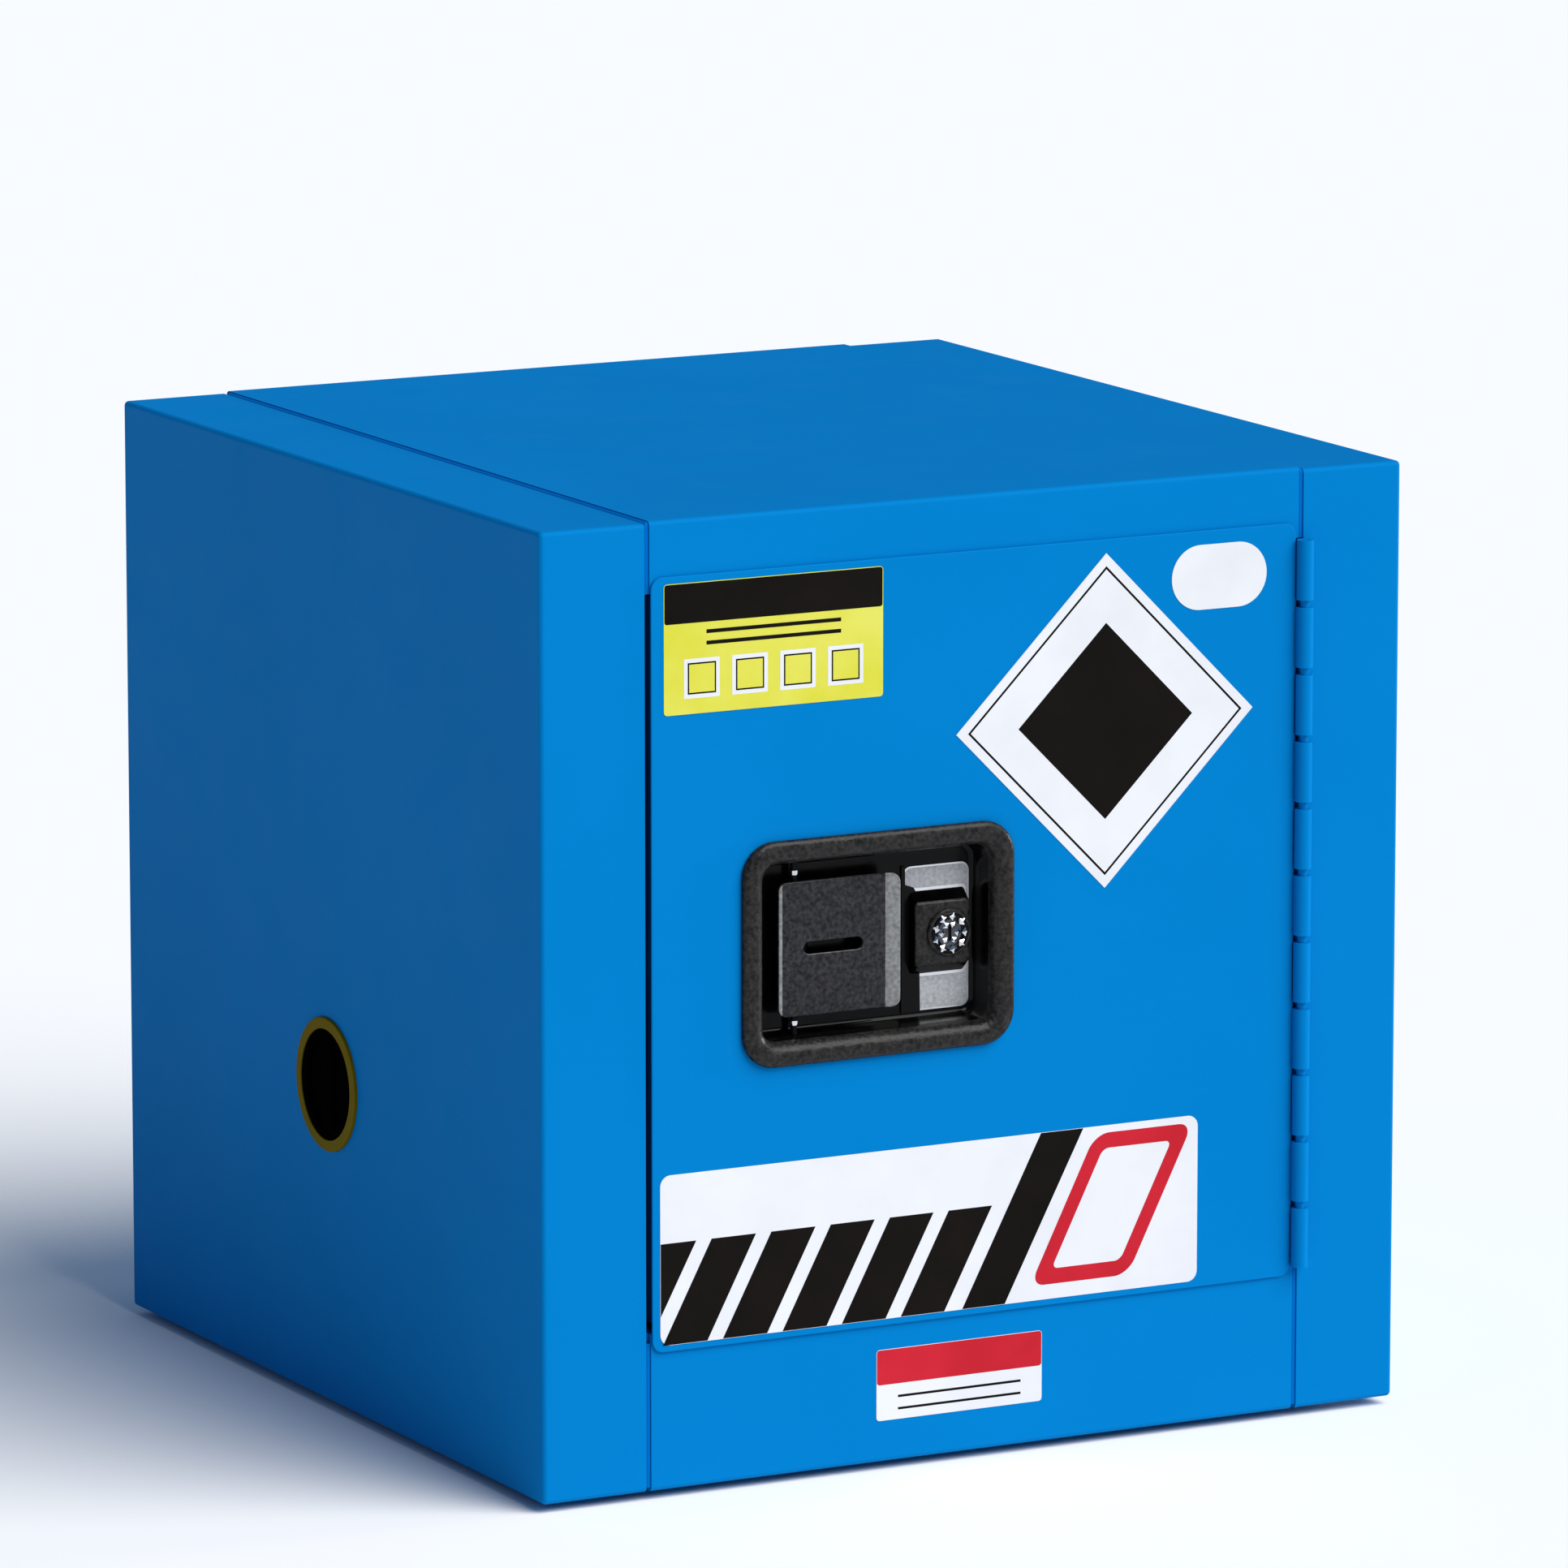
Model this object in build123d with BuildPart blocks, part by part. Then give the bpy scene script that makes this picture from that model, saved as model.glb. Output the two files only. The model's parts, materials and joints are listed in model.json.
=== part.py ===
from build123d import *
import os

# A double-walled countertop cabinet with one hinged door, in millimetres.
# +Z is up, the door faces minus Y, and the origin is under the middle of the whole object.

os.makedirs("parts", exist_ok=True)

# Outer body
WIDTH = 430.0  # across both side modules
DEPTH = 430.0  # from the front face to the back face
HEIGHT = 430.0  # from the underside of the sheet to the top
SHEET = 1.2  # steel sheet of both walls
EDGE_RADIUS = 2.2  # outer bends
POST = 50.5  # front face of a side module
SEAM = 2.4  # open groove between a side module and the middle
SEAM_DEPTH = 3.0  # from the face to the floor of the groove
TOP_STEP = 1.0  # the middle of the top stands this much higher
HEAD_RAIL = 31.9  # front rail over the door opening
SILL_RAIL = 70.8  # front rail under the door opening
RAIL_RETURN = 15.0  # inward bend of the rails at the opening
FLANGE = 15.0  # bent edge of the inner walls
BACK_GAP = 38.0  # air space behind the inner back wall
SUMP_DEPTH = 50.0  # liquid that the floor tray can hold
TOUCH = 0.1  # gap between sheets that are laid side by side

# Spacer channels between the walls
SPACER_WIDTH = 25.0
SPACER_INSET = 60.0  # from the front and back of the side walls
SPACER_PLACE = 85.0  # from the middle, on the back, top and base

# Door
DOOR_PROUD = 1.5  # front of the door skin before the front face
DOOR_HINGE_GAP = 4.5  # door skin to post on the hinge side
DOOR_LAP_TOP = 7.2  # door skin over the head rail
DOOR_LAP_BOTTOM = 8.5  # door skin over the sill rail
DOOR_CORNER = 5.5
DOOR_THICK = 38.0  # from the front face to the back of the door
TRAY_DEPTH = 16.0  # bent edge of the door skin
TRAY_INSET = 4.1  # bent edge from the free edge of the skin
OPENING_CLEAR = 2.5  # door tray to the rails, above and below
PAN_START = 4.0  # front edge of the inner pan behind the front face
STIFFENER_WIDTH = 30.0
STIFFENER_PLACE = 75.0  # from the door's hinge edge

# Continuous hinge
KNUCKLES = 11
KNUCKLE_RADIUS = 3.85
KNUCKLE_GAP = 3.4
HINGE_PROUD = 4.0  # pin axis before the front face
HINGE_DROP = 4.0  # lowest knuckle below the opening
HINGE_TOP_GAP = 0.3
HINGE_PIN_RADIUS = 2.0
HINGE_PIN_CHAMFER = 0.5
LEAF = 1.2
LEAF_DEPTH = 15.0
LEAF_END = 2.0  # leaf ends inside the opening
RUNNING = 0.05  # radial clearance of a pin that turns

# Paddle latch
LATCH_WIDTH = 134.9
LATCH_HEIGHT = 100.5
LATCH_CORNER = 15.5
LATCH_INSET = 111.0  # latch middle from the door's free edge
LATCH_RISE = 0.8  # latch middle above the door's middle
LATCH_RIM = 10.8  # width of the raised rim
RIM_THICK = 3.0
RIM_ROUND = 1.4
GASKET = 0.8
PAN_DEPTH = 14.0  # recess floor behind the front of the door skin
PAN_WALL = 1.5
PAN_DRAFT = 4.0  # degrees
PAN_CORNER = 7.0
CUTOUT_CLEAR = 0.5
FRAME_WALL = 6.0  # mounting frame round the cut-out
CASE_PLATE = 1.5
CASE_WALL = 1.5
LATCH_SCREW_RADIUS = 2.0
LATCH_SCREW_HEAD_RADIUS = 3.8
LATCH_SCREW_HEAD = 2.4
LATCH_SCREW_DEPTH = 9.0
SCREW_CLEAR = 0.1

# Paddle
PADDLE_WIDTH = 59.0
PADDLE_HEIGHT = 60.0
PADDLE_THICK = 2.0
PADDLE_SET = 16.5  # paddle middle left of the latch middle
PADDLE_DEPTH = 5.0  # paddle face behind the door skin
PADDLE_CORNER = 4.0
PADDLE_LIP = 6.3  # bent finger edge
PADDLE_LIP_RISE = 2.6
PADDLE_SLOT = (29.5, 5.7)
PADDLE_SLOT_SET = 2.5  # slot middle left of the paddle middle
PIVOT_INSET = 9.8  # pin axis from the paddle's left edge
PIVOT_BEHIND = 5.0  # pin axis behind the paddle's face
PIVOT_RADIUS = 1.5
HUB_RADIUS = 3.0
HUB_WEB = 4.4  # web that joins a hub to the plate
HUB_LENGTH = 15.0
HUB_PLACE = 20.0  # hub middles from the latch middle
FINGER_LENGTH = 17.0
FINGER_THICK = 3.0
FINGER_HEIGHT = 6.0
FINGER_SLACK = 3.0  # room for the finger in the pan, away from the lock
FINGER_SWEEP = 9.0  # room for it towards the lock as the paddle turns
FINGER_TRAIL = 4.7  # room behind it in the bolt
PADDLE_SPRING_TURNS = 2

# Lock
LOCK_PLACE = 39.5  # lock axis right of the latch middle
BLOCK_WIDTH = 28.4
BLOCK_HEIGHT = 38.0
BLOCK_RISE = 6.5
BLOCK_SET = 2.7  # block middle left of the lock axis
BLOCK_CORNER = 2.0
BLOCK_DRAFT = 12.5  # degrees
LOCK_RING_RADIUS = 10.7
LOCK_RING_THICK = 1.8
LOCK_RING_CHAMFER = 0.6
LOCK_BODY_RADIUS = 9.2
LOCK_BODY_LENGTH = 22.0
LOCK_NUT_RADIUS = 13.5
LOCK_NUT_THICK = 4.0
PLUG_RADIUS = 6.0
PLUG_RECESS = 0.4
KEYWAY = (7.6, 1.6)
KEYWAY_DEPTH = 12.0
CAM_THICK = 2.0
CAM_WIDTH = 11.0
CAM_CORNER = 3.7
CAM_REACH = 18.0  # stays clear of the case as it turns
CAM_GAP = 0.5

# Slam bolt
BOLT_THICK = 12.0
BOLT_HEIGHT = 20.0
BOLT_BEHIND = 2.0  # bolt behind the case plate
BOLT_THROW = 6.5  # nose beyond the jamb
BOLT_TAIL = 22.0  # bolt end right of the paddle's pin axis
BOLT_BEVEL = 6.0
BOLT_BEVEL_LENGTH = 8.4
BOLT_CLEAR = 0.3
CASE_LENGTH = 76.0
CASE_HEIGHT = 46.0
CASE_DEPTH = 19.5
CASE_SHIFT = 11.0  # case's left end from the latch's left end, towards the lock
SPRING_RADIUS = 4.2
SPRING_WIRE = 0.5  # wire radius
SPRING_TURNS = 6
SPRING_CLEAR = 0.2  # inside of the paddle's spring to its pin
STRIKE_HEIGHT = 56.0
STRIKE_DEPTH = 26.0
STRIKE_THICK = 1.2
STRIKE_CORNER = 2.4
STRIKE_SCREW_PLACE = 20.0
STRIKE_SCREW_RADIUS = 2.0
STRIKE_SCREW_HEAD = 3.6
STRIKE_SCREW_ROUND = 0.9
STRIKE_SCREW_LENGTH = 8.0

# Vents
VENT_BORE = 25.5
VENT_WALL = 1.5
VENT_FLANGE = 30.6
VENT_FLANGE_THICK = 1.5
VENT_FLANGE_ROUND = 0.5
VENT_HEIGHT = 146.8  # low vent's middle above the underside, and the high vent's below the top
VENT_SHOULDER = 2.5  # step in the bore that stops the bung
BUNG_LENGTH = 16.0
BUNG_CLEAR = 0.3
BUNG_SINK = 0.4
BUNG_DISH = 21.0
BUNG_DISH_DEPTH = 3.0
BUNG_BAR = 9.0
SCREEN_THICK = 1.0
SCREEN_HOLE = 1.7
SCREEN_PITCH = 6.0
SCREEN_HOLES = (5, 7)

# Shelf
SHELF_HEIGHT = 235.0  # shelf face above the underside of the body
SHELF_LIP = 22.0
SHELF_TURN = 11.0  # lip's edge, turned back under the front
SHELF_SHEET = 1.0
SHELF_SIDE_GAP = 0.6
SHELF_FRONT_GAP = 8.0  # behind the door
SHELF_BACK_GAP = 3.0
RAIL_WIDTH = 14.0
RAIL_DEPTH = 2.6
RAIL_SLOT = (6.0, 12.0)
RAIL_PITCH = 25.0
RAIL_INSET = 60.0  # rail middles from the front of the shelf and from its back
RAIL_END = 12.0
CLIP_WIDTH = 10.0
CLIP_REACH = 13.0
CLIP_THICK = 4.0
CLIP_DROP = 12.0

# Ground stud
STUD_RADIUS = 4.0
STUD_PROUD = 16.0
STUD_TIP_RADIUS = 3.8
STUD_INSIDE = 11.0
STUD_SIDE = 42.0  # from the seam's edge
STUD_RISE = 34.0  # above the sill's height
NUT_FLATS = 6.5
NUT_THICK = 6.4
WASHER_RADIUS = 8.0
WASHER_THICK = 1.6

# Feet
FOOT_HEIGHT = 4.0
FOOT_RADIUS = 14.0
FOOT_CHAMFER = 1.0
FOOT_PLACE_X = 30.0  # from the seam's edge
FOOT_PLACE_Y = 46.0  # from the front and the back
FOOT_SCREW_RADIUS = 2.5
FOOT_SCREW_HEAD = 4.8
FOOT_SCREW_HEAD_THICK = 2.0
FOOT_SCREW_LENGTH = 9.0

# Label plates
LABEL = 0.25
STRIPE_HEIGHT = 76.0
STRIPE_INSET = (3.7, 3.0)  # from the door's free edge and its bottom
STRIPE_END = 48.5  # from the door's hinge edge
STRIPE_CORNER = 5.0
PLATE_CORNER = 1.7
YELLOW_LABEL = (107.5, 57.6)
YELLOW_INSET = (6.0, 3.2)  # from the door's free edge and its top
DIAMOND_TOP = 6.2  # its upper corner from the door's top
DIAMOND_TO_LATCH = 14.1  # gap to the round corner of the latch
DIAMOND_TO_OVAL = 9.0  # gap to the round end of the oval label
OVAL_LABEL = (48.4, 29.1)
OVAL_PLACE = (39.4, 20.8)  # from the door's hinge edge and its top
RAIL_LABEL = (83.5, 32.2)
RAIL_LABEL_SHIFT = 8.7  # left of the middle
RAIL_LABEL_RISE = 34.9  # above the underside

# Places that follow from the sizes
half_width = WIDTH / 2
front = -(DEPTH + STUD_PROUD - HINGE_PROUD - KNUCKLE_RADIUS) / 2
back = front + DEPTH
base = FOOT_HEIGHT
top = base + HEIGHT
side_top = top - TOP_STEP
jamb = half_width - POST
middle_edge = jamb - SEAM
lip = SEAM_DEPTH + SHEET
opening_low = base + SILL_RAIL
opening_high = top - HEAD_RAIL
liner_back = back - SHEET - BACK_GAP
liner_edge = jamb - TOUCH
sump_floor = opening_low - SHEET - SUMP_DEPTH
ceiling = opening_high + SHEET

door_left = -middle_edge
door_right = jamb - DOOR_HINGE_GAP
door_low = opening_low - DOOR_LAP_BOTTOM
door_high = opening_high + DOOR_LAP_TOP
door_front = front - DOOR_PROUD
skin_back = door_front + SHEET
tray_left = door_left + TRAY_INSET
tray_low = opening_low + OPENING_CLEAR
tray_high = opening_high - OPENING_CLEAR
pan_back = front + DOOR_THICK
stiffener_x = door_right - STIFFENER_PLACE
through = 2 * SHEET  # depth of a cut through one sheet

hinge_x = jamb - LEAF
hinge_y = front - HINGE_PROUD
hinge_low = opening_low - HINGE_DROP
hinge_high = opening_high - HINGE_TOP_GAP
knuckle = (hinge_high - hinge_low - (KNUCKLES - 1) * KNUCKLE_GAP) / KNUCKLES
knuckle_lows = [hinge_low + i * (knuckle + KNUCKLE_GAP) for i in range(KNUCKLES)]
leaf_low = opening_low + LEAF_END
leaf_high = opening_high - LEAF_END

latch_x = door_left + LATCH_INSET
latch_z = (door_low + door_high) / 2 + LATCH_RISE
recess_width = LATCH_WIDTH - 2 * LATCH_RIM
recess_height = LATCH_HEIGHT - 2 * LATCH_RIM
rim_back = door_front - GASKET
rim_front = rim_back - RIM_THICK
pan_floor = door_front + PAN_DEPTH
plate_front = pan_floor + PAN_WALL
plate_back = plate_front + CASE_PLATE
cutout_width = recess_width + 2 * (PAN_WALL + CUTOUT_CLEAR)
cutout_height = recess_height + 2 * (PAN_WALL + CUTOUT_CLEAR)
frame_width = cutout_width + 2 * FRAME_WALL
frame_height = cutout_height + 2 * FRAME_WALL
screw_spots = [
    (latch_x + i * (frame_width - FRAME_WALL) / 2, latch_z + j * (frame_height - FRAME_WALL) / 2)
    for i in (-1, 1)
    for j in (-1, 1)
]

paddle_x = latch_x - PADDLE_SET
paddle_left = paddle_x - PADDLE_WIDTH / 2
paddle_right = paddle_x + PADDLE_WIDTH / 2
paddle_front = door_front + PADDLE_DEPTH
pivot_x = paddle_left + PIVOT_INSET
pivot_y = paddle_front + PIVOT_BEHIND
finger_span = (pivot_x - FINGER_SLACK - FINGER_THICK / 2, pivot_x + FINGER_SWEEP)
finger_low = latch_z - FINGER_HEIGHT / 2 - BOLT_CLEAR
finger_high = latch_z + FINGER_HEIGHT / 2 + BOLT_CLEAR
lock_x = latch_x + LOCK_PLACE
block_front = pan_floor - BLOCK_RISE
lock_back = block_front + LOCK_BODY_LENGTH
bolt_front = plate_back + BOLT_BEHIND
bolt_y = bolt_front + BOLT_THICK / 2
bolt_nose = -(jamb + BOLT_THROW)
bolt_end = pivot_x + BOLT_TAIL
bolt_low = latch_z - BOLT_HEIGHT / 2
bolt_high = latch_z + BOLT_HEIGHT / 2
bolt_room_y = (bolt_front - BOLT_CLEAR, bolt_front + BOLT_THICK + BOLT_CLEAR)
bolt_room_z = (bolt_low - BOLT_CLEAR, bolt_high + BOLT_CLEAR)
case_left = latch_x - LATCH_WIDTH / 2 + CASE_SHIFT
case_right = case_left + CASE_LENGTH
case_back = plate_back + CASE_DEPTH - CASE_PLATE
spring_length = case_right - CASE_WALL - bolt_end
coil_low = latch_z - HUB_PLACE + HUB_LENGTH / 2 + FINGER_SLACK
coil_high = latch_z - FINGER_HEIGHT / 2 - 2 * SPRING_WIRE - BOLT_CLEAR

SIDES = [(-1, "left"), (1, "right")]
vent_y = (front + back) / 2
vent_z = {-1: base + VENT_HEIGHT, 1: top - VENT_HEIGHT}
vent_tube = VENT_BORE + VENT_WALL
vent_mouth = half_width + VENT_FLANGE_THICK
shelf_z = base + SHELF_HEIGHT
shelf_front = pan_back + SHELF_FRONT_GAP
shelf_back = liner_back - SHEET - SHELF_BACK_GAP
rail_ys = [shelf_front + RAIL_INSET, shelf_back - RAIL_INSET]
shelf_half = jamb - RAIL_DEPTH - SHELF_SIDE_GAP
clip_top = shelf_z - SHELF_SHEET
clip_face = jamb - RAIL_DEPTH
rail_low = sump_floor + SUMP_DEPTH + RAIL_END
rail_high = opening_high - RAIL_END
slot_count = int((rail_high - rail_low) / RAIL_PITCH)
stud_x = middle_edge - STUD_SIDE
stud_z = opening_low + STUD_RISE
foot_xs = [-(middle_edge - FOOT_PLACE_X), middle_edge - FOOT_PLACE_X]
foot_ys = [front + FOOT_PLACE_Y, back - FOOT_PLACE_Y]
foot_spots = [(x, y) for x in foot_xs for y in foot_ys]
spacer_low = sump_floor + FLANGE + SPACER_WIDTH
spacer_high = opening_high - SPACER_WIDTH

stripe_left = door_left + STRIPE_INSET[0]
stripe_right = door_right - STRIPE_END
stripe_low = door_low + STRIPE_INSET[1]
oval_x = door_right - OVAL_PLACE[0]
oval_z = door_high - OVAL_PLACE[1]
oval_round = OVAL_LABEL[1] / 2
oval_end = oval_x - OVAL_LABEL[0] / 2 + oval_round
latch_round_x = latch_x + LATCH_WIDTH / 2 - LATCH_CORNER
latch_round_z = latch_z + LATCH_HEIGHT / 2 - LATCH_CORNER
# The diamond fills the slanting space between the latch's corner and the oval label
slant = 2**0.5
slant_low = latch_round_x + latch_round_z + slant * (LATCH_CORNER + DIAMOND_TO_LATCH)
slant_high = oval_end + oval_z - slant * (oval_round + DIAMOND_TO_OVAL)
diamond_reach = (slant_high - slant_low) / 2
diamond_z = door_high - DIAMOND_TOP - diamond_reach
diamond_x = (slant_high + slant_low) / 2 - diamond_z


def slab(x_span, y_span, z_span, mode=Mode.ADD):
    """Adds a block between three pairs of limits to the piece being built, or cuts it."""
    spans = (x_span, y_span, z_span)
    with Locations(tuple((low + high) / 2 for low, high in spans)):
        Box(*(abs(high - low) for low, high in spans), mode=mode)


def facing_front(y):
    """A plane across the cabinet at depth y, whose own X and Y are the object's X and Z."""
    return Plane.XZ.offset(-y)


# Side modules: side, post, top, back and bottom strip bent from one sheet
for side, word in SIDES:
    with BuildPart() as side_shell:
        slab((side * jamb, side * half_width), (front, back), (base, side_top))
        inner = side_shell.faces().sort_by(Axis.X, reverse=side < 0)[0]
        fillet(side_shell.edges() - inner.edges(), EDGE_RADIUS)
        offset(amount=-SHEET, openings=side_shell.faces().sort_by(Axis.X, reverse=side < 0)[0])
        # The edge turns in beside the groove
        with BuildSketch(Plane.YZ.offset(side * jamb)):
            with Locations(((front + back) / 2, (base + side_top) / 2)):
                Rectangle(DEPTH - 2 * SHEET, side_top - base - 2 * SHEET)
                Rectangle(DEPTH - 2 * lip, side_top - base - 2 * lip, mode=Mode.SUBTRACT)
        extrude(amount=side * SHEET)
        # Then it runs under the groove as its floor
        with BuildSketch(Plane.YZ.offset(side * jamb)):
            with Locations(((front + back) / 2, (base + side_top) / 2)):
                Rectangle(DEPTH - 2 * SEAM_DEPTH, side_top - base - 2 * SEAM_DEPTH)
                Rectangle(DEPTH - 2 * lip, side_top - base - 2 * lip, mode=Mode.SUBTRACT)
        extrude(amount=side * (TOUCH - SEAM))
        # The floor of the groove is left out along the door opening
        slab(
            (side * jamb, side * (middle_edge - SEAM)),
            (front, front + FLANGE),
            (opening_low, opening_high),
            mode=Mode.SUBTRACT,
        )
        with BuildSketch(Plane.YZ.offset(side * half_width)):
            with Locations((vent_y, vent_z[side])):
                Circle(vent_tube + TOUCH)
        extrude(amount=-side * through, mode=Mode.SUBTRACT)
    side_shell.part.label = f"{word}_side_shell"
    export_step(side_shell.part, f"parts/{word}_side_shell.step")

# Middle of the top with the head rail, bent down all round
with BuildPart() as top_shell:
    slab((-middle_edge, middle_edge), (front, back), (opening_high, top))
    fillet(top_shell.edges().filter_by(Axis.X).group_by(Axis.Z)[-1], EDGE_RADIUS)
    offset(amount=-SHEET, openings=top_shell.faces().sort_by(Axis.Z)[0])
    # Its sides are low flanges behind the rails
    slab(
        (-middle_edge, middle_edge),
        (front + lip, back - lip),
        (opening_high, top - FLANGE),
        mode=Mode.SUBTRACT,
    )
    slab((-middle_edge, middle_edge), (front, front + RAIL_RETURN), (opening_high, ceiling))
top_shell.part.label = "top_shell"
export_step(top_shell.part, "parts/top_shell.step")

# Middle of the base with the sill rail, bent up all round
with BuildPart() as base_shell:
    slab((-middle_edge, middle_edge), (front, back), (base, opening_low))
    fillet(base_shell.edges().filter_by(Axis.X).group_by(Axis.Z)[0], EDGE_RADIUS)
    offset(amount=-SHEET, openings=base_shell.faces().sort_by(Axis.Z)[-1])
    slab(
        (-middle_edge, middle_edge),
        (front + lip, back - lip),
        (base + FLANGE, opening_low),
        mode=Mode.SUBTRACT,
    )
    slab(
        (-middle_edge, middle_edge),
        (front, front + RAIL_RETURN),
        (opening_low - SHEET, opening_low),
    )
    with Locations((0, 0, base)):
        with Locations(*foot_spots):
            Hole(FOOT_SCREW_RADIUS + SCREW_CLEAR, depth=through)
base_shell.part.label = "base_shell"
export_step(base_shell.part, "parts/base_shell.step")

# Back panel between the top and the base
with BuildPart() as back_shell:
    slab((-middle_edge, middle_edge), (back - FLANGE, back), (opening_low, opening_high))
    offset(amount=-SHEET, openings=back_shell.faces().sort_by(Axis.Y)[0])
    with Locations(facing_front(back)):
        with Locations((stud_x, stud_z)):
            Hole(STUD_RADIUS + SCREW_CLEAR, depth=through)
back_shell.part.label = "back_shell"
export_step(back_shell.part, "parts/back_shell.step")

# Inner side walls, whose edges bend away from the inside
for side, word in SIDES:
    with BuildPart() as liner:
        slab(
            (side * jamb, side * (jamb + FLANGE)),
            (front + lip, liner_back),
            (sump_floor, ceiling + FLANGE),
        )
        offset(amount=-SHEET, openings=liner.faces().sort_by(Axis.X, reverse=side < 0)[-1])
        with BuildSketch(Plane.YZ.offset(side * jamb)):
            with Locations((vent_y, vent_z[side])):
                Circle(vent_tube + TOUCH)
        extrude(amount=side * through, mode=Mode.SUBTRACT)
        if side < 0:
            # The slam bolt goes in here
            slab((-jamb, -(jamb + through)), bolt_room_y, bolt_room_z, mode=Mode.SUBTRACT)
            with BuildSketch(Plane.YZ.offset(-jamb)):
                for z in (latch_z - STRIKE_SCREW_PLACE, latch_z + STRIKE_SCREW_PLACE):
                    with Locations((bolt_y, z)):
                        Circle(STRIKE_SCREW_RADIUS)
            extrude(amount=-through, mode=Mode.SUBTRACT)
    liner.part.label = f"{word}_liner"
    export_step(liner.part, f"parts/{word}_liner.step")

# Inner back wall
with BuildPart() as back_liner:
    slab(
        (-liner_edge, liner_edge),
        (liner_back - SHEET, liner_back - SHEET + FLANGE),
        (sump_floor, ceiling + FLANGE),
    )
    offset(amount=-SHEET, openings=back_liner.faces().sort_by(Axis.Y)[-1])
back_liner.part.label = "back_liner"
export_step(back_liner.part, "parts/back_liner.step")

# Inner ceiling, laid on the head rail's return
with BuildPart() as ceiling_liner:
    slab((-liner_edge, liner_edge), (front + lip, liner_back - SHEET), (ceiling, ceiling + FLANGE))
    offset(amount=-SHEET, openings=ceiling_liner.faces().sort_by(Axis.Z)[-1])
ceiling_liner.part.label = "ceiling_liner"
export_step(ceiling_liner.part, "parts/ceiling_liner.step")

# Leak-tight floor tray under the sill
with BuildPart() as sump_tray:
    slab(
        (-liner_edge, liner_edge),
        (front + lip + TOUCH, liner_back - SHEET),
        (sump_floor, opening_low - SHEET),
    )
    offset(amount=-SHEET, openings=sump_tray.faces().sort_by(Axis.Z)[-1])
sump_tray.part.label = "sump_tray"
export_step(sump_tray.part, "parts/sump_tray.step")

# Channels that hold the two walls apart, open towards one edge
with BuildPart() as side_spacers:
    for side, _ in SIDES:
        wall_span = (side * (jamb + SHEET), side * (half_width - SHEET))
        channel_span = (side * (jamb + 2 * SHEET), side * (half_width - 2 * SHEET))
        for y in (front + SPACER_INSET, back - SPACER_INSET - BACK_GAP):
            slab(wall_span, (y, y + SPACER_WIDTH), (spacer_low, spacer_high))
            slab(
                channel_span,
                (y + SHEET, y + SPACER_WIDTH),
                (spacer_low, spacer_high),
                mode=Mode.SUBTRACT,
            )
side_spacers.part.label = "side_spacers"
export_step(side_spacers.part, "parts/side_spacers.step")

with BuildPart() as back_spacers:
    for side, _ in SIDES:
        outer = side * SPACER_PLACE
        near = side * (SPACER_PLACE - SPACER_WIDTH)
        slab((near, outer), (liner_back, back - SHEET), (opening_low + FLANGE, spacer_high))
        slab(
            (near, outer - side * SHEET),
            (liner_back + SHEET, back - 2 * SHEET),
            (opening_low + FLANGE, spacer_high),
            mode=Mode.SUBTRACT,
        )
back_spacers.part.label = "back_spacers"
export_step(back_spacers.part, "parts/back_spacers.step")

for word, z_low, z_high in (
    ("top", ceiling + SHEET, top - SHEET),
    ("base", base + SHEET, sump_floor),
):
    with BuildPart() as flat_spacers:
        for side, _ in SIDES:
            outer = side * SPACER_PLACE
            near = side * (SPACER_PLACE - SPACER_WIDTH)
            span = (front + SPACER_INSET, liner_back - SPACER_INSET)
            slab((near, outer), span, (z_low, z_high))
            slab(
                (near, outer - side * SHEET),
                span,
                (z_low + SHEET, z_high - SHEET),
                mode=Mode.SUBTRACT,
            )
    flat_spacers.part.label = f"{word}_spacers"
    export_step(flat_spacers.part, f"parts/{word}_spacers.step")

# Continuous hinge: the odd knuckles belong to the post, the even ones to the door
with BuildPart() as hinge_frame_leaf:
    slab((jamb - LEAF, jamb), (front, front + LEAF_DEPTH), (leaf_low, leaf_high))
    for z in knuckle_lows[0::2]:
        slab(
            (jamb - LEAF, jamb),
            (hinge_y + (HINGE_PIN_RADIUS + KNUCKLE_RADIUS) / 2, front + LEAF_DEPTH),
            (max(z, leaf_low), min(z + knuckle, leaf_high)),
        )
        with Locations((hinge_x, hinge_y, z)):
            Cylinder(KNUCKLE_RADIUS, knuckle, align=(Align.CENTER, Align.CENTER, Align.MIN))
    with Locations((hinge_x, hinge_y, (hinge_low + hinge_high) / 2)):
        Cylinder(HINGE_PIN_RADIUS, hinge_high - hinge_low, mode=Mode.SUBTRACT)
hinge_frame_leaf.part.label = "hinge_frame_leaf"
export_step(hinge_frame_leaf.part, "parts/hinge_frame_leaf.step")

with BuildPart() as hinge_door_leaf:
    slab((door_right, door_right + LEAF), (front, front + LEAF_DEPTH), (leaf_low, leaf_high))
    for z in knuckle_lows[1::2]:
        slab(
            (door_right, door_right + LEAF),
            (hinge_y + HINGE_PIN_RADIUS / 2, front + LEAF_DEPTH),
            (z, z + knuckle),
        )
        with Locations((hinge_x, hinge_y, z)):
            Cylinder(KNUCKLE_RADIUS, knuckle, align=(Align.CENTER, Align.CENTER, Align.MIN))
    with Locations((hinge_x, hinge_y, (hinge_low + hinge_high) / 2)):
        Cylinder(HINGE_PIN_RADIUS + RUNNING, hinge_high - hinge_low, mode=Mode.SUBTRACT)
hinge_door_leaf.part.label = "hinge_door_leaf"
export_step(hinge_door_leaf.part, "parts/hinge_door_leaf.step")

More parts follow.
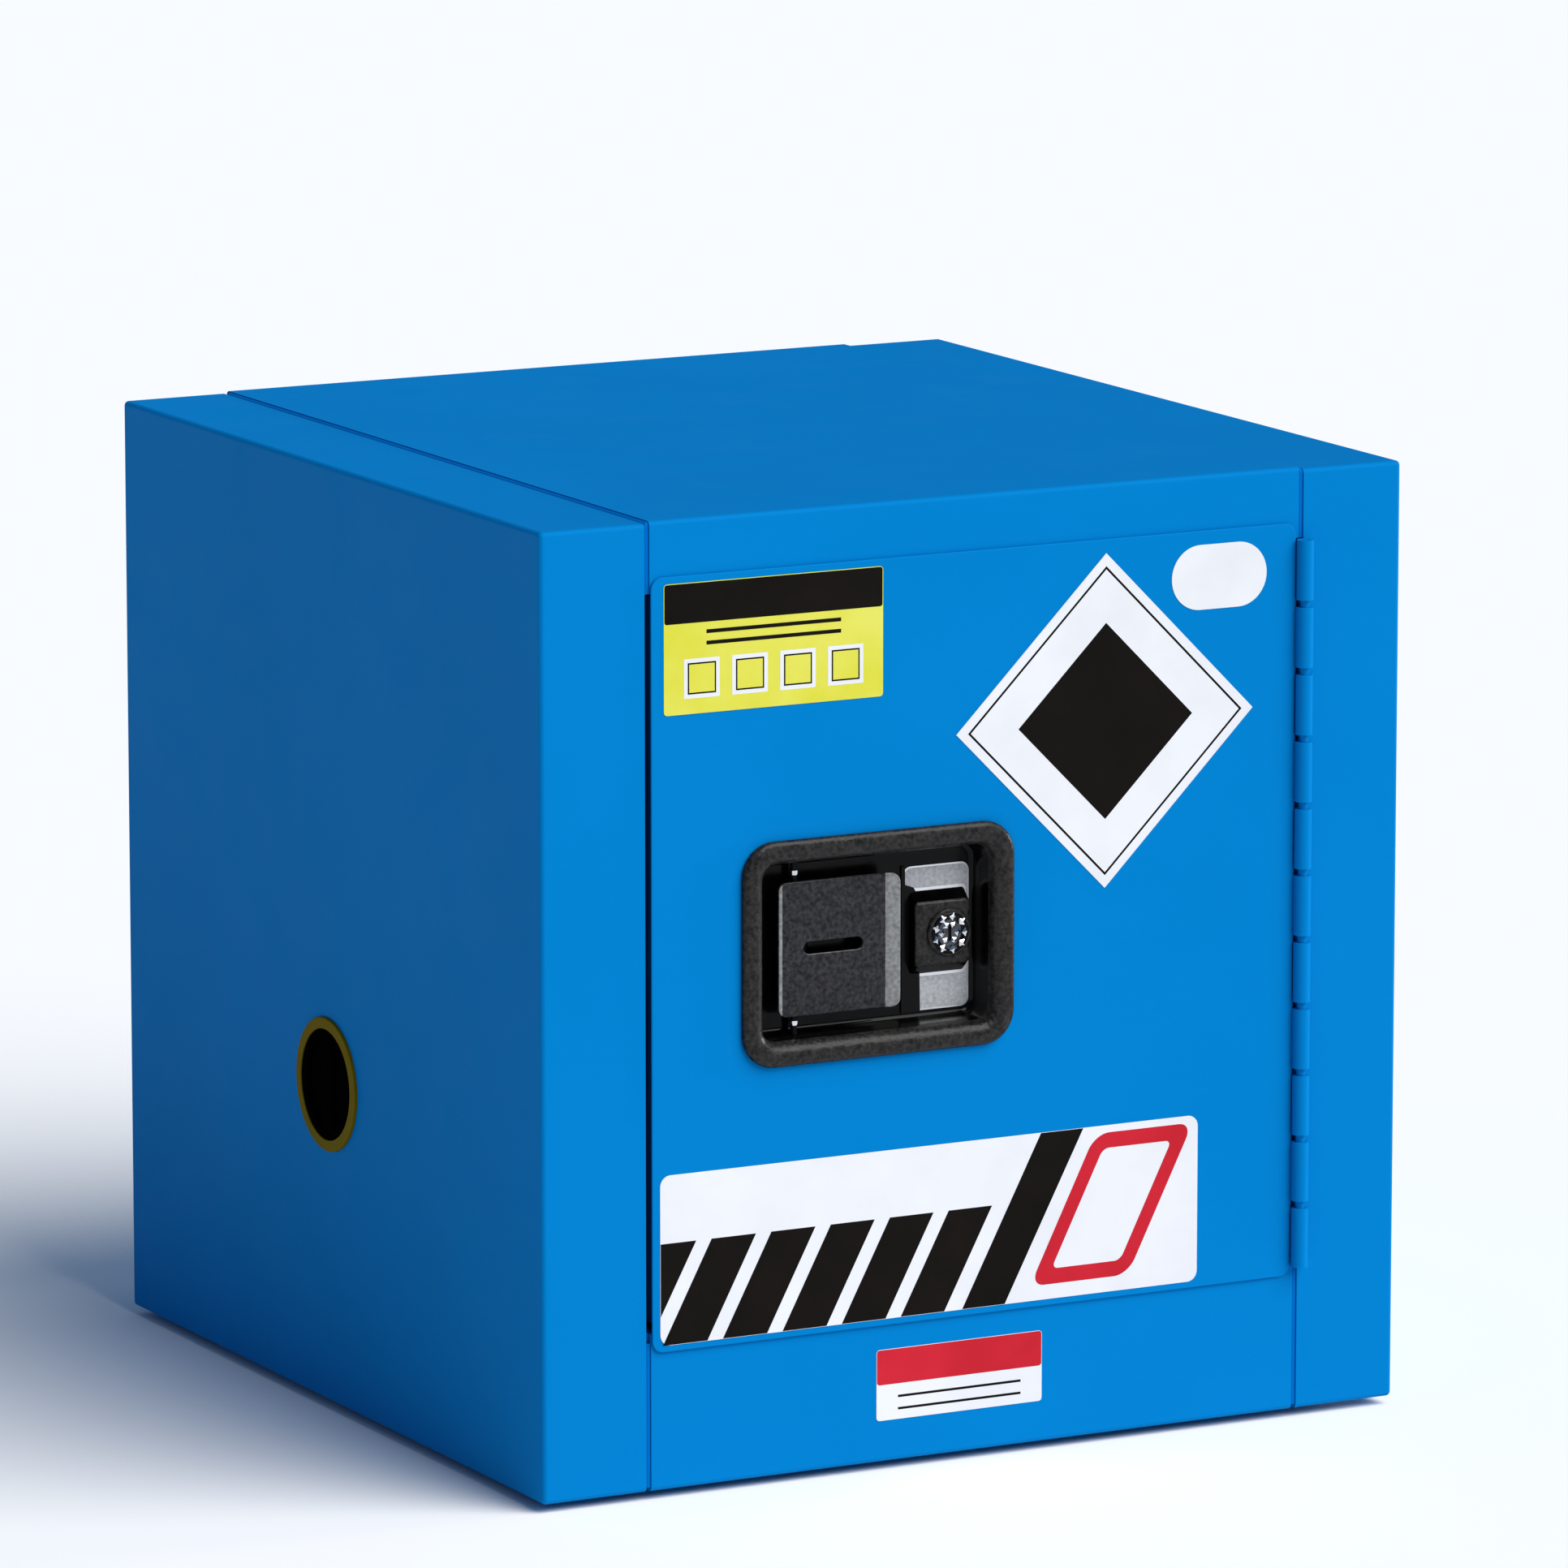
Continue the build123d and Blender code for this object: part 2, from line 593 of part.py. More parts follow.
with BuildPart() as hinge_pin:
    with Locations((hinge_x, hinge_y, (hinge_low + hinge_high) / 2)):
        Cylinder(HINGE_PIN_RADIUS, hinge_high - hinge_low)
    chamfer(hinge_pin.edges().filter_by(GeomType.CIRCLE), HINGE_PIN_CHAMFER)
hinge_pin.part.label = "hinge_pin"
export_step(hinge_pin.part, "parts/hinge_pin.step")

# Door skin: flat overlay sheet with an edge bent into the opening
with BuildPart() as door_skin:
    with BuildSketch(facing_front(skin_back)):
        with Locations(((door_left + door_right) / 2, (door_low + door_high) / 2)):
            RectangleRounded(door_right - door_left, door_high - door_low, DOOR_CORNER)
    extrude(amount=SHEET)
    slab((tray_left, door_right), (skin_back, skin_back + TRAY_DEPTH), (tray_low, tray_high))
    slab(
        (tray_left + SHEET, door_right - SHEET),
        (skin_back, skin_back + TRAY_DEPTH),
        (tray_low + SHEET, tray_high - SHEET),
        mode=Mode.SUBTRACT,
    )
    with BuildSketch(facing_front(door_front)):
        with Locations((latch_x, latch_z)):
            RectangleRounded(cutout_width, cutout_height, PAN_CORNER + PAN_WALL)
    extrude(amount=-through, mode=Mode.SUBTRACT)
    slab(
        (tray_left - SHEET, tray_left + through),
        bolt_room_y,
        bolt_room_z,
        mode=Mode.SUBTRACT,
    )
door_skin.part.label = "door_skin"
export_step(door_skin.part, "parts/door_skin.step")

# Inner pan that closes the back of the door, nested in the skin's bent edge
with BuildPart() as door_pan:
    slab(
        (tray_left + SHEET, door_right - SHEET),
        (front + PAN_START, pan_back),
        (tray_low + SHEET, tray_high - SHEET),
    )
    offset(amount=-SHEET, openings=door_pan.faces().sort_by(Axis.Y)[0])
    slab(
        (tray_left, tray_left + SHEET + through),
        bolt_room_y,
        bolt_room_z,
        mode=Mode.SUBTRACT,
    )
door_pan.part.label = "door_pan"
export_step(door_pan.part, "parts/door_pan.step")

# Upright channel inside the door
with BuildPart() as door_stiffener:
    slab(
        (stiffener_x, stiffener_x + STIFFENER_WIDTH),
        (skin_back, pan_back - SHEET),
        (tray_low + 2 * SHEET, tray_high - 2 * SHEET),
    )
    slab(
        (stiffener_x, stiffener_x + STIFFENER_WIDTH - SHEET),
        (skin_back + SHEET, pan_back - 2 * SHEET),
        (tray_low, tray_high),
        mode=Mode.SUBTRACT,
    )
door_stiffener.part.label = "door_stiffener"
export_step(door_stiffener.part, "parts/door_stiffener.step")

# Latch bezel: raised rim with a drawn recess, a lock block in it and holes for the lock and the pin
with BuildPart() as latch_bezel:
    with BuildSketch(facing_front(rim_back)):
        with Locations((latch_x, latch_z)):
            RectangleRounded(LATCH_WIDTH, LATCH_HEIGHT, LATCH_CORNER)
    extrude(amount=RIM_THICK)
    fillet(latch_bezel.faces().sort_by(Axis.Y)[0].edges(), RIM_ROUND)
    with BuildSketch(facing_front(plate_front)):
        with Locations((latch_x, latch_z)):
            RectangleRounded(
                recess_width + 2 * PAN_WALL, recess_height + 2 * PAN_WALL, PAN_CORNER + PAN_WALL
            )
    extrude(amount=plate_front - rim_back)
    with BuildSketch(facing_front(rim_front)):
        with Locations((latch_x, latch_z)):
            RectangleRounded(recess_width, recess_height, PAN_CORNER)
    extrude(amount=-(pan_floor - rim_front), taper=PAN_DRAFT, mode=Mode.SUBTRACT)
    fillet(
        latch_bezel.faces().sort_by(Axis.Y)[0].inner_wires()[0].edges(),
        RIM_ROUND,
    )
    with BuildSketch(facing_front(pan_floor)):
        with Locations((lock_x - BLOCK_SET, latch_z)):
            RectangleRounded(BLOCK_WIDTH, BLOCK_HEIGHT, BLOCK_CORNER)
    extrude(amount=BLOCK_RISE, taper=BLOCK_DRAFT)
    with BuildSketch(facing_front(block_front)):
        with Locations((lock_x, latch_z)):
            Circle(LOCK_BODY_RADIUS + SCREW_CLEAR)
    extrude(amount=-(plate_back - block_front), mode=Mode.SUBTRACT)
    # Slot for the paddle's finger
    slab(
        finger_span,
        (pan_floor - PAN_WALL, plate_front + PAN_WALL),
        (finger_low, finger_high),
        mode=Mode.SUBTRACT,
    )
    with Locations((pivot_x, pivot_y, latch_z)):
        Cylinder(PIVOT_RADIUS, LATCH_HEIGHT, mode=Mode.SUBTRACT)
latch_bezel.part.label = "latch_bezel"
export_step(latch_bezel.part, "parts/latch_bezel.step")

# Rubber gasket under the rim
with BuildPart() as latch_gasket:
    with BuildSketch(facing_front(door_front)):
        with Locations((latch_x, latch_z)):
            RectangleRounded(LATCH_WIDTH - 2 * GASKET, LATCH_HEIGHT - 2 * GASKET, LATCH_CORNER - GASKET)
            RectangleRounded(cutout_width, cutout_height, PAN_CORNER + PAN_WALL, mode=Mode.SUBTRACT)
    extrude(amount=GASKET)
latch_gasket.part.label = "latch_gasket"
export_step(latch_gasket.part, "parts/latch_gasket.step")

# Mounting frame between the door skin and the case plate
with BuildPart() as latch_frame:
    with BuildSketch(facing_front(plate_front)):
        with Locations((latch_x, latch_z)):
            Rectangle(frame_width, frame_height)
            Rectangle(cutout_width, cutout_height, mode=Mode.SUBTRACT)
    extrude(amount=plate_front - skin_back)
    with BuildSketch(facing_front(plate_front)):
        with Locations(*screw_spots):
            Circle(LATCH_SCREW_RADIUS)
    extrude(amount=LATCH_SCREW_DEPTH, mode=Mode.SUBTRACT)
latch_frame.part.label = "latch_frame"
export_step(latch_frame.part, "parts/latch_frame.step")

# Case: a plate across the frame with a housing for the slam bolt
with BuildPart() as latch_case:
    with BuildSketch(facing_front(plate_back)):
        with Locations((latch_x, latch_z)):
            Rectangle(frame_width, frame_height)
        with Locations((lock_x, latch_z)):
            Circle(LOCK_BODY_RADIUS + SCREW_CLEAR, mode=Mode.SUBTRACT)
        with Locations(*screw_spots):
            Circle(LATCH_SCREW_RADIUS + SCREW_CLEAR, mode=Mode.SUBTRACT)
    extrude(amount=CASE_PLATE)
    slab(finger_span, (plate_front, plate_back), (finger_low, finger_high), mode=Mode.SUBTRACT)
    slab(
        (case_left, case_right),
        (plate_back, case_back),
        (latch_z - CASE_HEIGHT / 2, latch_z + CASE_HEIGHT / 2),
    )
    slab(
        (case_left + CASE_WALL, case_right - CASE_WALL),
        (plate_back, case_back - CASE_WALL),
        (latch_z - CASE_HEIGHT / 2 + CASE_WALL, latch_z + CASE_HEIGHT / 2 - CASE_WALL),
        mode=Mode.SUBTRACT,
    )
    # Ribs that guide the bolt above and below, and its way out at the end
    for z_low, z_high in (
        (latch_z - CASE_HEIGHT / 2, bolt_room_z[0]),
        (bolt_room_z[1], latch_z + CASE_HEIGHT / 2),
    ):
        slab(
            (case_left + CASE_WALL, pivot_x - HUB_RADIUS - FINGER_SLACK),
            (plate_back, case_back - CASE_WALL),
            (z_low, z_high),
        )
    slab((case_left, case_left + CASE_WALL), bolt_room_y, bolt_room_z, mode=Mode.SUBTRACT)
latch_case.part.label = "latch_case"
export_step(latch_case.part, "parts/latch_case.step")

with BuildPart() as latch_screws:
    with BuildSketch(facing_front(plate_back)):
        with Locations(*screw_spots):
            Circle(LATCH_SCREW_RADIUS)
    extrude(amount=LATCH_SCREW_DEPTH)
    with BuildSketch(facing_front(plate_back)):
        with Locations(*screw_spots):
            Circle(LATCH_SCREW_HEAD_RADIUS)
    extrude(amount=-LATCH_SCREW_HEAD)
latch_screws.part.label = "latch_screws"
export_step(latch_screws.part, "parts/latch_screws.step")

# Paddle: flat plate with a flared finger edge, two hubs on the pin and a finger that draws the bolt
with BuildPart() as paddle:
    with BuildSketch(facing_front(paddle_front + PADDLE_THICK)):
        with Locations((paddle_x - PADDLE_LIP / 2, latch_z)):
            RectangleRounded(PADDLE_WIDTH - PADDLE_LIP, PADDLE_HEIGHT, PADDLE_CORNER)
        with Locations((paddle_right - PADDLE_LIP - PADDLE_CORNER, latch_z)):
            Rectangle(2 * PADDLE_CORNER, PADDLE_HEIGHT)
    extrude(amount=PADDLE_THICK)
    with BuildSketch(Plane.XY.offset(latch_z - PADDLE_HEIGHT / 2)):
        with BuildLine():
            Polyline(
                (paddle_right - PADDLE_LIP, paddle_front),
                (paddle_right, paddle_front - PADDLE_LIP_RISE),
                (paddle_right, paddle_front - PADDLE_LIP_RISE + PADDLE_THICK),
                (paddle_right - PADDLE_LIP, paddle_front + PADDLE_THICK),
                close=True,
            )
        make_face()
    extrude(amount=PADDLE_HEIGHT)
    lip_ends = paddle.edges().filter_by(Axis.Y).group_by(Axis.X)[-1]
    fillet(lip_ends, PADDLE_CORNER)
    with BuildSketch(facing_front(paddle_front)):
        with Locations((paddle_x - PADDLE_SLOT_SET, latch_z)):
            SlotOverall(*PADDLE_SLOT)
    extrude(amount=-PADDLE_THICK, mode=Mode.SUBTRACT)
    for z, length in (
        (latch_z - HUB_PLACE, HUB_LENGTH),
        (latch_z, FINGER_HEIGHT),
        (latch_z + HUB_PLACE, HUB_LENGTH),
    ):
        with Locations((pivot_x, pivot_y, z)):
            Cylinder(HUB_RADIUS, length)
        slab(
            (pivot_x - HUB_WEB / 2, pivot_x + HUB_WEB / 2),
            (paddle_front + PADDLE_THICK / 2, pivot_y),
            (z - length / 2, z + length / 2),
        )
    slab(
        (pivot_x - FINGER_THICK / 2, pivot_x + FINGER_THICK / 2),
        (pivot_y, pivot_y + FINGER_LENGTH),
        (latch_z - FINGER_HEIGHT / 2, latch_z + FINGER_HEIGHT / 2),
    )
    with Locations((pivot_x, pivot_y, latch_z)):
        Cylinder(PIVOT_RADIUS + RUNNING, PADDLE_HEIGHT + HUB_LENGTH, mode=Mode.SUBTRACT)
paddle.part.label = "paddle"
export_step(paddle.part, "parts/paddle.step")

# Pin of the paddle, held in the walls of the recess
with BuildPart() as paddle_pin:
    with Locations((pivot_x, pivot_y, latch_z)):
        Cylinder(PIVOT_RADIUS, recess_height + PAN_WALL)
paddle_pin.part.label = "paddle_pin"
export_step(paddle_pin.part, "parts/paddle_pin.step")

# Lock: ring and threaded body, nut, plug with its keyway, and the cam on its end
with BuildPart() as lock_cylinder:
    with BuildSketch(facing_front(block_front)):
        with Locations((lock_x, latch_z)):
            Circle(LOCK_RING_RADIUS)
    extrude(amount=LOCK_RING_THICK)
    chamfer(lock_cylinder.faces().sort_by(Axis.Y)[0].edges(), LOCK_RING_CHAMFER)
    with BuildSketch(facing_front(block_front)):
        with Locations((lock_x, latch_z)):
            Circle(LOCK_BODY_RADIUS)
    extrude(amount=-LOCK_BODY_LENGTH)
    with BuildSketch(facing_front(block_front - LOCK_RING_THICK)):
        with Locations((lock_x, latch_z)):
            Circle(PLUG_RADIUS + RUNNING)
    extrude(amount=-(LOCK_BODY_LENGTH + LOCK_RING_THICK), mode=Mode.SUBTRACT)
lock_cylinder.part.label = "lock_cylinder"
export_step(lock_cylinder.part, "parts/lock_cylinder.step")

with BuildPart() as lock_nut:
    with BuildSketch(facing_front(plate_back + LOCK_NUT_THICK)):
        with Locations((lock_x, latch_z)):
            RegularPolygon(LOCK_NUT_RADIUS, 6, major_radius=False)
            Circle(LOCK_BODY_RADIUS, mode=Mode.SUBTRACT)
    extrude(amount=LOCK_NUT_THICK)
lock_nut.part.label = "lock_nut"
export_step(lock_nut.part, "parts/lock_nut.step")

with BuildPart() as key_plug:
    with BuildSketch(facing_front(lock_back + CAM_GAP)):
        with Locations((lock_x, latch_z)):
            Circle(PLUG_RADIUS)
    extrude(amount=lock_back + CAM_GAP - (block_front - LOCK_RING_THICK) - PLUG_RECESS)
    with BuildSketch(facing_front(block_front - LOCK_RING_THICK)):
        with Locations((lock_x, latch_z)):
            Rectangle(KEYWAY[1], KEYWAY[0])
    extrude(amount=-KEYWAY_DEPTH, mode=Mode.SUBTRACT)
key_plug.part.label = "key_plug"
export_step(key_plug.part, "parts/key_plug.step")

with BuildPart() as lock_cam:
    with BuildSketch(facing_front(lock_back + CAM_GAP + CAM_THICK)):
        with Locations((lock_x, latch_z - CAM_REACH / 2 + CAM_WIDTH / 4)):
            RectangleRounded(CAM_WIDTH, CAM_REACH + CAM_WIDTH / 2, CAM_CORNER)
    extrude(amount=CAM_THICK)
lock_cam.part.label = "lock_cam"
export_step(lock_cam.part, "parts/lock_cam.step")

# Slam bolt with a bevel on its closing side and a slot for the paddle's finger
with BuildPart() as latch_bolt:
    slab((bolt_nose, bolt_end), (bolt_front, bolt_front + BOLT_THICK), (bolt_low, bolt_high))
    nose = latch_bolt.edges().filter_by(Axis.Z).group_by(Axis.X)[0].sort_by(Axis.Y)[-1]
    chamfer(nose, BOLT_BEVEL, BOLT_BEVEL_LENGTH)
    slab(
        (pivot_x - FINGER_TRAIL - FINGER_THICK / 2, pivot_x + BOLT_CLEAR + FINGER_THICK / 2),
        (bolt_front, bolt_front + BOLT_THICK),
        (finger_low, finger_high),
        mode=Mode.SUBTRACT,
    )
latch_bolt.part.label = "latch_bolt"
export_step(latch_bolt.part, "parts/latch_bolt.step")

# Spring that throws the bolt, between its end and the case
with BuildPart() as bolt_spring:
    with BuildLine() as coil:
        Helix(
            (spring_length - 2 * SPRING_WIRE) / SPRING_TURNS,
            spring_length - 2 * SPRING_WIRE,
            SPRING_RADIUS,
            center=(bolt_end + SPRING_WIRE, bolt_y, latch_z),
            direction=(1, 0, 0),
        )
    with BuildSketch(Plane(origin=coil.line @ 0, z_dir=coil.line % 0)):
        Circle(SPRING_WIRE)
    sweep(is_frenet=True)
bolt_spring.part.label = "bolt_spring"
export_step(bolt_spring.part, "parts/bolt_spring.step")

# Strike plate on the jamb and its screws
with BuildPart() as strike_plate:
    with BuildSketch(Plane.YZ.offset(-jamb)):
        with Locations((bolt_y, latch_z)):
            RectangleRounded(STRIKE_DEPTH, STRIKE_HEIGHT, STRIKE_CORNER)
            Rectangle(
                BOLT_THICK + 2 * BOLT_CLEAR, BOLT_HEIGHT + 2 * BOLT_CLEAR, mode=Mode.SUBTRACT
            )
        with Locations((bolt_y, latch_z)):
            with Locations((0, STRIKE_SCREW_PLACE), (0, -STRIKE_SCREW_PLACE)):
                Circle(STRIKE_SCREW_RADIUS, mode=Mode.SUBTRACT)
    extrude(amount=STRIKE_THICK)
strike_plate.part.label = "strike_plate"
export_step(strike_plate.part, "parts/strike_plate.step")

with BuildPart() as strike_screws:
    for z in (latch_z - STRIKE_SCREW_PLACE, latch_z + STRIKE_SCREW_PLACE):
        with BuildSketch(Plane.YZ.offset(-jamb + STRIKE_THICK)):
            with Locations((bolt_y, z)):
                Circle(STRIKE_SCREW_HEAD)
        extrude(amount=STRIKE_THICK)
    dome = strike_screws.faces().sort_by(Axis.X).filter_by(Axis.X)[-2:]
    fillet(dome.edges(), STRIKE_SCREW_ROUND)
    for z in (latch_z - STRIKE_SCREW_PLACE, latch_z + STRIKE_SCREW_PLACE):
        with BuildSketch(Plane.YZ.offset(-jamb + STRIKE_THICK)):
            with Locations((bolt_y, z)):
                Circle(STRIKE_SCREW_RADIUS - SCREW_CLEAR)
        extrude(amount=-STRIKE_SCREW_LENGTH)
strike_screws.part.label = "strike_screws"
export_step(strike_screws.part, "parts/strike_screws.step")

# Torsion spring that brings the paddle back, round the lower half of its pin
with BuildPart() as paddle_spring:
    with BuildLine() as coil:
        Helix(
            (coil_high - coil_low) / PADDLE_SPRING_TURNS,
            coil_high - coil_low,
            PIVOT_RADIUS + SPRING_WIRE + SPRING_CLEAR,
            center=(pivot_x, pivot_y, coil_low),
        )
    with BuildSketch(Plane(origin=coil.line @ 0, z_dir=coil.line % 0)):
        Circle(SPRING_WIRE)
    sweep(is_frenet=True)
paddle_spring.part.label = "paddle_spring"
export_step(paddle_spring.part, "parts/paddle_spring.step")

# Vents: flanged tube through both walls, flame screen in its inner end, bung in its mouth
for side, word in SIDES:
    with BuildPart() as vent_ring:
        with BuildSketch(Plane.YZ.offset(side * half_width)):
            with Locations((vent_y, vent_z[side])):
                Circle(VENT_FLANGE)
        extrude(amount=side * VENT_FLANGE_THICK)
        rim = vent_ring.faces().sort_by(Axis.X, reverse=side > 0)[0]
        fillet(rim.edges(), VENT_FLANGE_ROUND)
        with BuildSketch(Plane.YZ.offset(side * half_width)):
            with Locations((vent_y, vent_z[side])):
                Circle(vent_tube)
        extrude(amount=-side * (half_width - jamb))
        with BuildSketch(Plane.YZ.offset(side * vent_mouth)):
            with Locations((vent_y, vent_z[side])):
                Circle(VENT_BORE)
        extrude(amount=-side * (BUNG_LENGTH + BUNG_SINK), mode=Mode.SUBTRACT)
        with BuildSketch(Plane.YZ.offset(side * vent_mouth)):
            with Locations((vent_y, vent_z[side])):
                Circle(VENT_BORE - VENT_SHOULDER)
        extrude(amount=-side * (vent_mouth - jamb), mode=Mode.SUBTRACT)
    vent_ring.part.label = f"{word}_vent_ring"
    export_step(vent_ring.part, f"parts/{word}_vent_ring.step")

    with BuildPart() as vent_screen:
        with BuildSketch(Plane.YZ.offset(side * (jamb + SCREEN_THICK))):
            with Locations((vent_y, vent_z[side])):
                Circle(VENT_BORE - VENT_SHOULDER)
                with HexLocations(SCREEN_PITCH / 2, *SCREEN_HOLES):
                    Circle(SCREEN_HOLE, mode=Mode.SUBTRACT)
        extrude(amount=side * SCREEN_THICK)
    vent_screen.part.label = f"{word}_flame_screen"
    export_step(vent_screen.part, f"parts/{word}_flame_screen.step")

    with BuildPart() as bung:
        with BuildSketch(Plane.YZ.offset(side * (vent_mouth - BUNG_SINK))):
            with Locations((vent_y, vent_z[side])):
                Circle(VENT_BORE - BUNG_CLEAR)
        extrude(amount=-side * BUNG_LENGTH)
        with BuildSketch(Plane.YZ.offset(side * (vent_mouth - BUNG_SINK))):
            with Locations((vent_y, vent_z[side])):
                Circle(BUNG_DISH)
                Rectangle(BUNG_BAR, 2 * VENT_BORE, mode=Mode.SUBTRACT)
        extrude(amount=-side * BUNG_DISH_DEPTH, mode=Mode.SUBTRACT)
    bung.part.label = f"{word}_bung"
    export_step(bung.part, f"parts/{word}_bung.step")

# Slotted rails on the inner side walls, the clips in them and the lift-out shelf
with BuildPart() as shelf_rails:
    for side, _ in SIDES:
        for y in rail_ys:
            y_span = (y - RAIL_WIDTH / 2, y + RAIL_WIDTH / 2)
            slab((side * jamb, side * (jamb - RAIL_DEPTH)), y_span, (rail_low, rail_high))
            with BuildSketch(Plane.YZ.offset(side * jamb)):
                with Locations((y, (rail_low + rail_high) / 2)):
                    with GridLocations(RAIL_PITCH, RAIL_PITCH, 1, slot_count):
                        Rectangle(*RAIL_SLOT)
            extrude(amount=-side * RAIL_DEPTH, mode=Mode.SUBTRACT)
shelf_rails.part.label = "shelf_rails"
export_step(shelf_rails.part, "parts/shelf_rails.step")

with BuildPart() as shelf_clips:
    for side, _ in SIDES:
        for y in rail_ys:
            y_span = (y - CLIP_WIDTH / 2, y + CLIP_WIDTH / 2)
            slab(
                (side * clip_face, side * (clip_face - CLIP_REACH)),
                y_span,
                (clip_top - CLIP_THICK, clip_top),
            )
            slab(
                (side * clip_face, side * (clip_face - CLIP_THICK)),
                y_span,
                (clip_top - CLIP_DROP, clip_top),
            )
shelf_clips.part.label = "shelf_clips"
export_step(shelf_clips.part, "parts/shelf_clips.step")

with BuildPart() as shelf:
    slab((-shelf_half, shelf_half), (shelf_front, shelf_back), (clip_top, shelf_z))
    for y_low, y_high in (
        (shelf_front, shelf_front + SHELF_SHEET),
        (shelf_back - SHELF_SHEET, shelf_back),
    ):
        slab((-shelf_half, shelf_half), (y_low, y_high), (shelf_z - SHELF_LIP, shelf_z))
    slab(
        (-shelf_half, shelf_half),
        (shelf_front, shelf_front + SHELF_TURN),
        (shelf_z - SHELF_LIP, shelf_z - SHELF_LIP + SHELF_SHEET),
    )
shelf.part.label = "shelf"
export_step(shelf.part, "parts/shelf.step")

# Ground stud through the back panel with a nut inside, a washer and a nut outside
with BuildPart() as ground_stud:
    with BuildSketch(facing_front(back + STUD_PROUD)):
        with Locations((stud_x, stud_z)):
            Circle(STUD_RADIUS)
    extrude(amount=STUD_PROUD + STUD_INSIDE)
    # The end past the nut is a little thinner, for a ring terminal
    with BuildSketch(facing_front(back + STUD_PROUD)):
        with Locations((stud_x, stud_z)):
            Circle(STUD_RADIUS)
            Circle(STUD_TIP_RADIUS, mode=Mode.SUBTRACT)
    extrude(amount=STUD_PROUD - WASHER_THICK - NUT_THICK, mode=Mode.SUBTRACT)
ground_stud.part.label = "ground_stud"
export_step(ground_stud.part, "parts/ground_stud.step")

with BuildPart() as ground_nuts:
    for y in (back + WASHER_THICK + NUT_THICK, back - SHEET):
        with BuildSketch(facing_front(y)):
            with Locations((stud_x, stud_z)):
                RegularPolygon(NUT_FLATS, 6, major_radius=False)
                Circle(STUD_RADIUS, mode=Mode.SUBTRACT)
        extrude(amount=NUT_THICK)
    with BuildSketch(facing_front(back + WASHER_THICK)):
        with Locations((stud_x, stud_z)):
            Circle(WASHER_RADIUS)
            Circle(STUD_RADIUS, mode=Mode.SUBTRACT)
    extrude(amount=WASHER_THICK)
ground_nuts.part.label = "ground_nuts"
export_step(ground_nuts.part, "parts/ground_nuts.step")

# Low feet under the base with their screws
with BuildPart() as rubber_feet:
    with Locations(*foot_spots):
        Cylinder(FOOT_RADIUS, FOOT_HEIGHT, align=(Align.CENTER, Align.CENTER, Align.MIN))
    chamfer(rubber_feet.edges().group_by(Axis.Z)[0], FOOT_CHAMFER)
    with Locations(*foot_spots):
        Cylinder(
            FOOT_SCREW_HEAD,
            FOOT_SCREW_HEAD_THICK + SCREW_CLEAR,
            align=(Align.CENTER, Align.CENTER, Align.MIN),
            mode=Mode.SUBTRACT,
        )
        Cylinder(
            FOOT_SCREW_RADIUS,
            FOOT_HEIGHT,
            align=(Align.CENTER, Align.CENTER, Align.MIN),
            mode=Mode.SUBTRACT,
        )
rubber_feet.part.label = "rubber_feet"
export_step(rubber_feet.part, "parts/rubber_feet.step")

with BuildPart() as foot_screws:
    with Locations((0, 0, 2 * SCREW_CLEAR)):
        with Locations(*foot_spots):
            Cylinder(
                FOOT_SCREW_HEAD - SCREW_CLEAR,
                FOOT_SCREW_HEAD_THICK - SCREW_CLEAR,
                align=(Align.CENTER, Align.CENTER, Align.MIN),
            )
            Cylinder(
                FOOT_SCREW_RADIUS - SCREW_CLEAR,
                FOOT_SCREW_LENGTH,
                align=(Align.CENTER, Align.CENTER, Align.MIN),
            )
foot_screws.part.label = "foot_screws"
export_step(foot_screws.part, "parts/foot_screws.step")

# Blank label plates on the door and on the sill rail
with BuildPart() as stripe_label:
    with BuildSketch(facing_front(door_front)):
        with Locations(((stripe_left + stripe_right) / 2, stripe_low + STRIPE_HEIGHT / 2)):
            RectangleRounded(stripe_right - stripe_left, STRIPE_HEIGHT, STRIPE_CORNER)
    extrude(amount=LABEL)
stripe_label.part.label = "stripe_label"
export_step(stripe_label.part, "parts/stripe_label.step")

with BuildPart() as yellow_label:
    with BuildSketch(facing_front(door_front)):
        with Locations(
            (
                door_left + YELLOW_INSET[0] + YELLOW_LABEL[0] / 2,
                door_high - YELLOW_INSET[1] - YELLOW_LABEL[1] / 2,
            )
        ):
            RectangleRounded(*YELLOW_LABEL, PLATE_CORNER)
    extrude(amount=LABEL)
yellow_label.part.label = "yellow_label"
export_step(yellow_label.part, "parts/yellow_label.step")

with BuildPart() as diamond_label:
    with BuildSketch(facing_front(door_front)):
        with Locations((diamond_x, diamond_z)):
            RegularPolygon(diamond_reach, 4)
    extrude(amount=LABEL)
diamond_label.part.label = "diamond_label"
export_step(diamond_label.part, "parts/diamond_label.step")

with BuildPart() as oval_label:
    with BuildSketch(facing_front(door_front)):
        with Locations((oval_x, oval_z)):
            SlotOverall(*OVAL_LABEL)
    extrude(amount=LABEL)
oval_label.part.label = "oval_label"
export_step(oval_label.part, "parts/oval_label.step")

with BuildPart() as rail_label:
    with BuildSketch(facing_front(front)):
        with Locations((-RAIL_LABEL_SHIFT, base + RAIL_LABEL_RISE)):
            RectangleRounded(*RAIL_LABEL, PLATE_CORNER)
    extrude(amount=LABEL)
rail_label.part.label = "rail_label"
export_step(rail_label.part, "parts/rail_label.step")
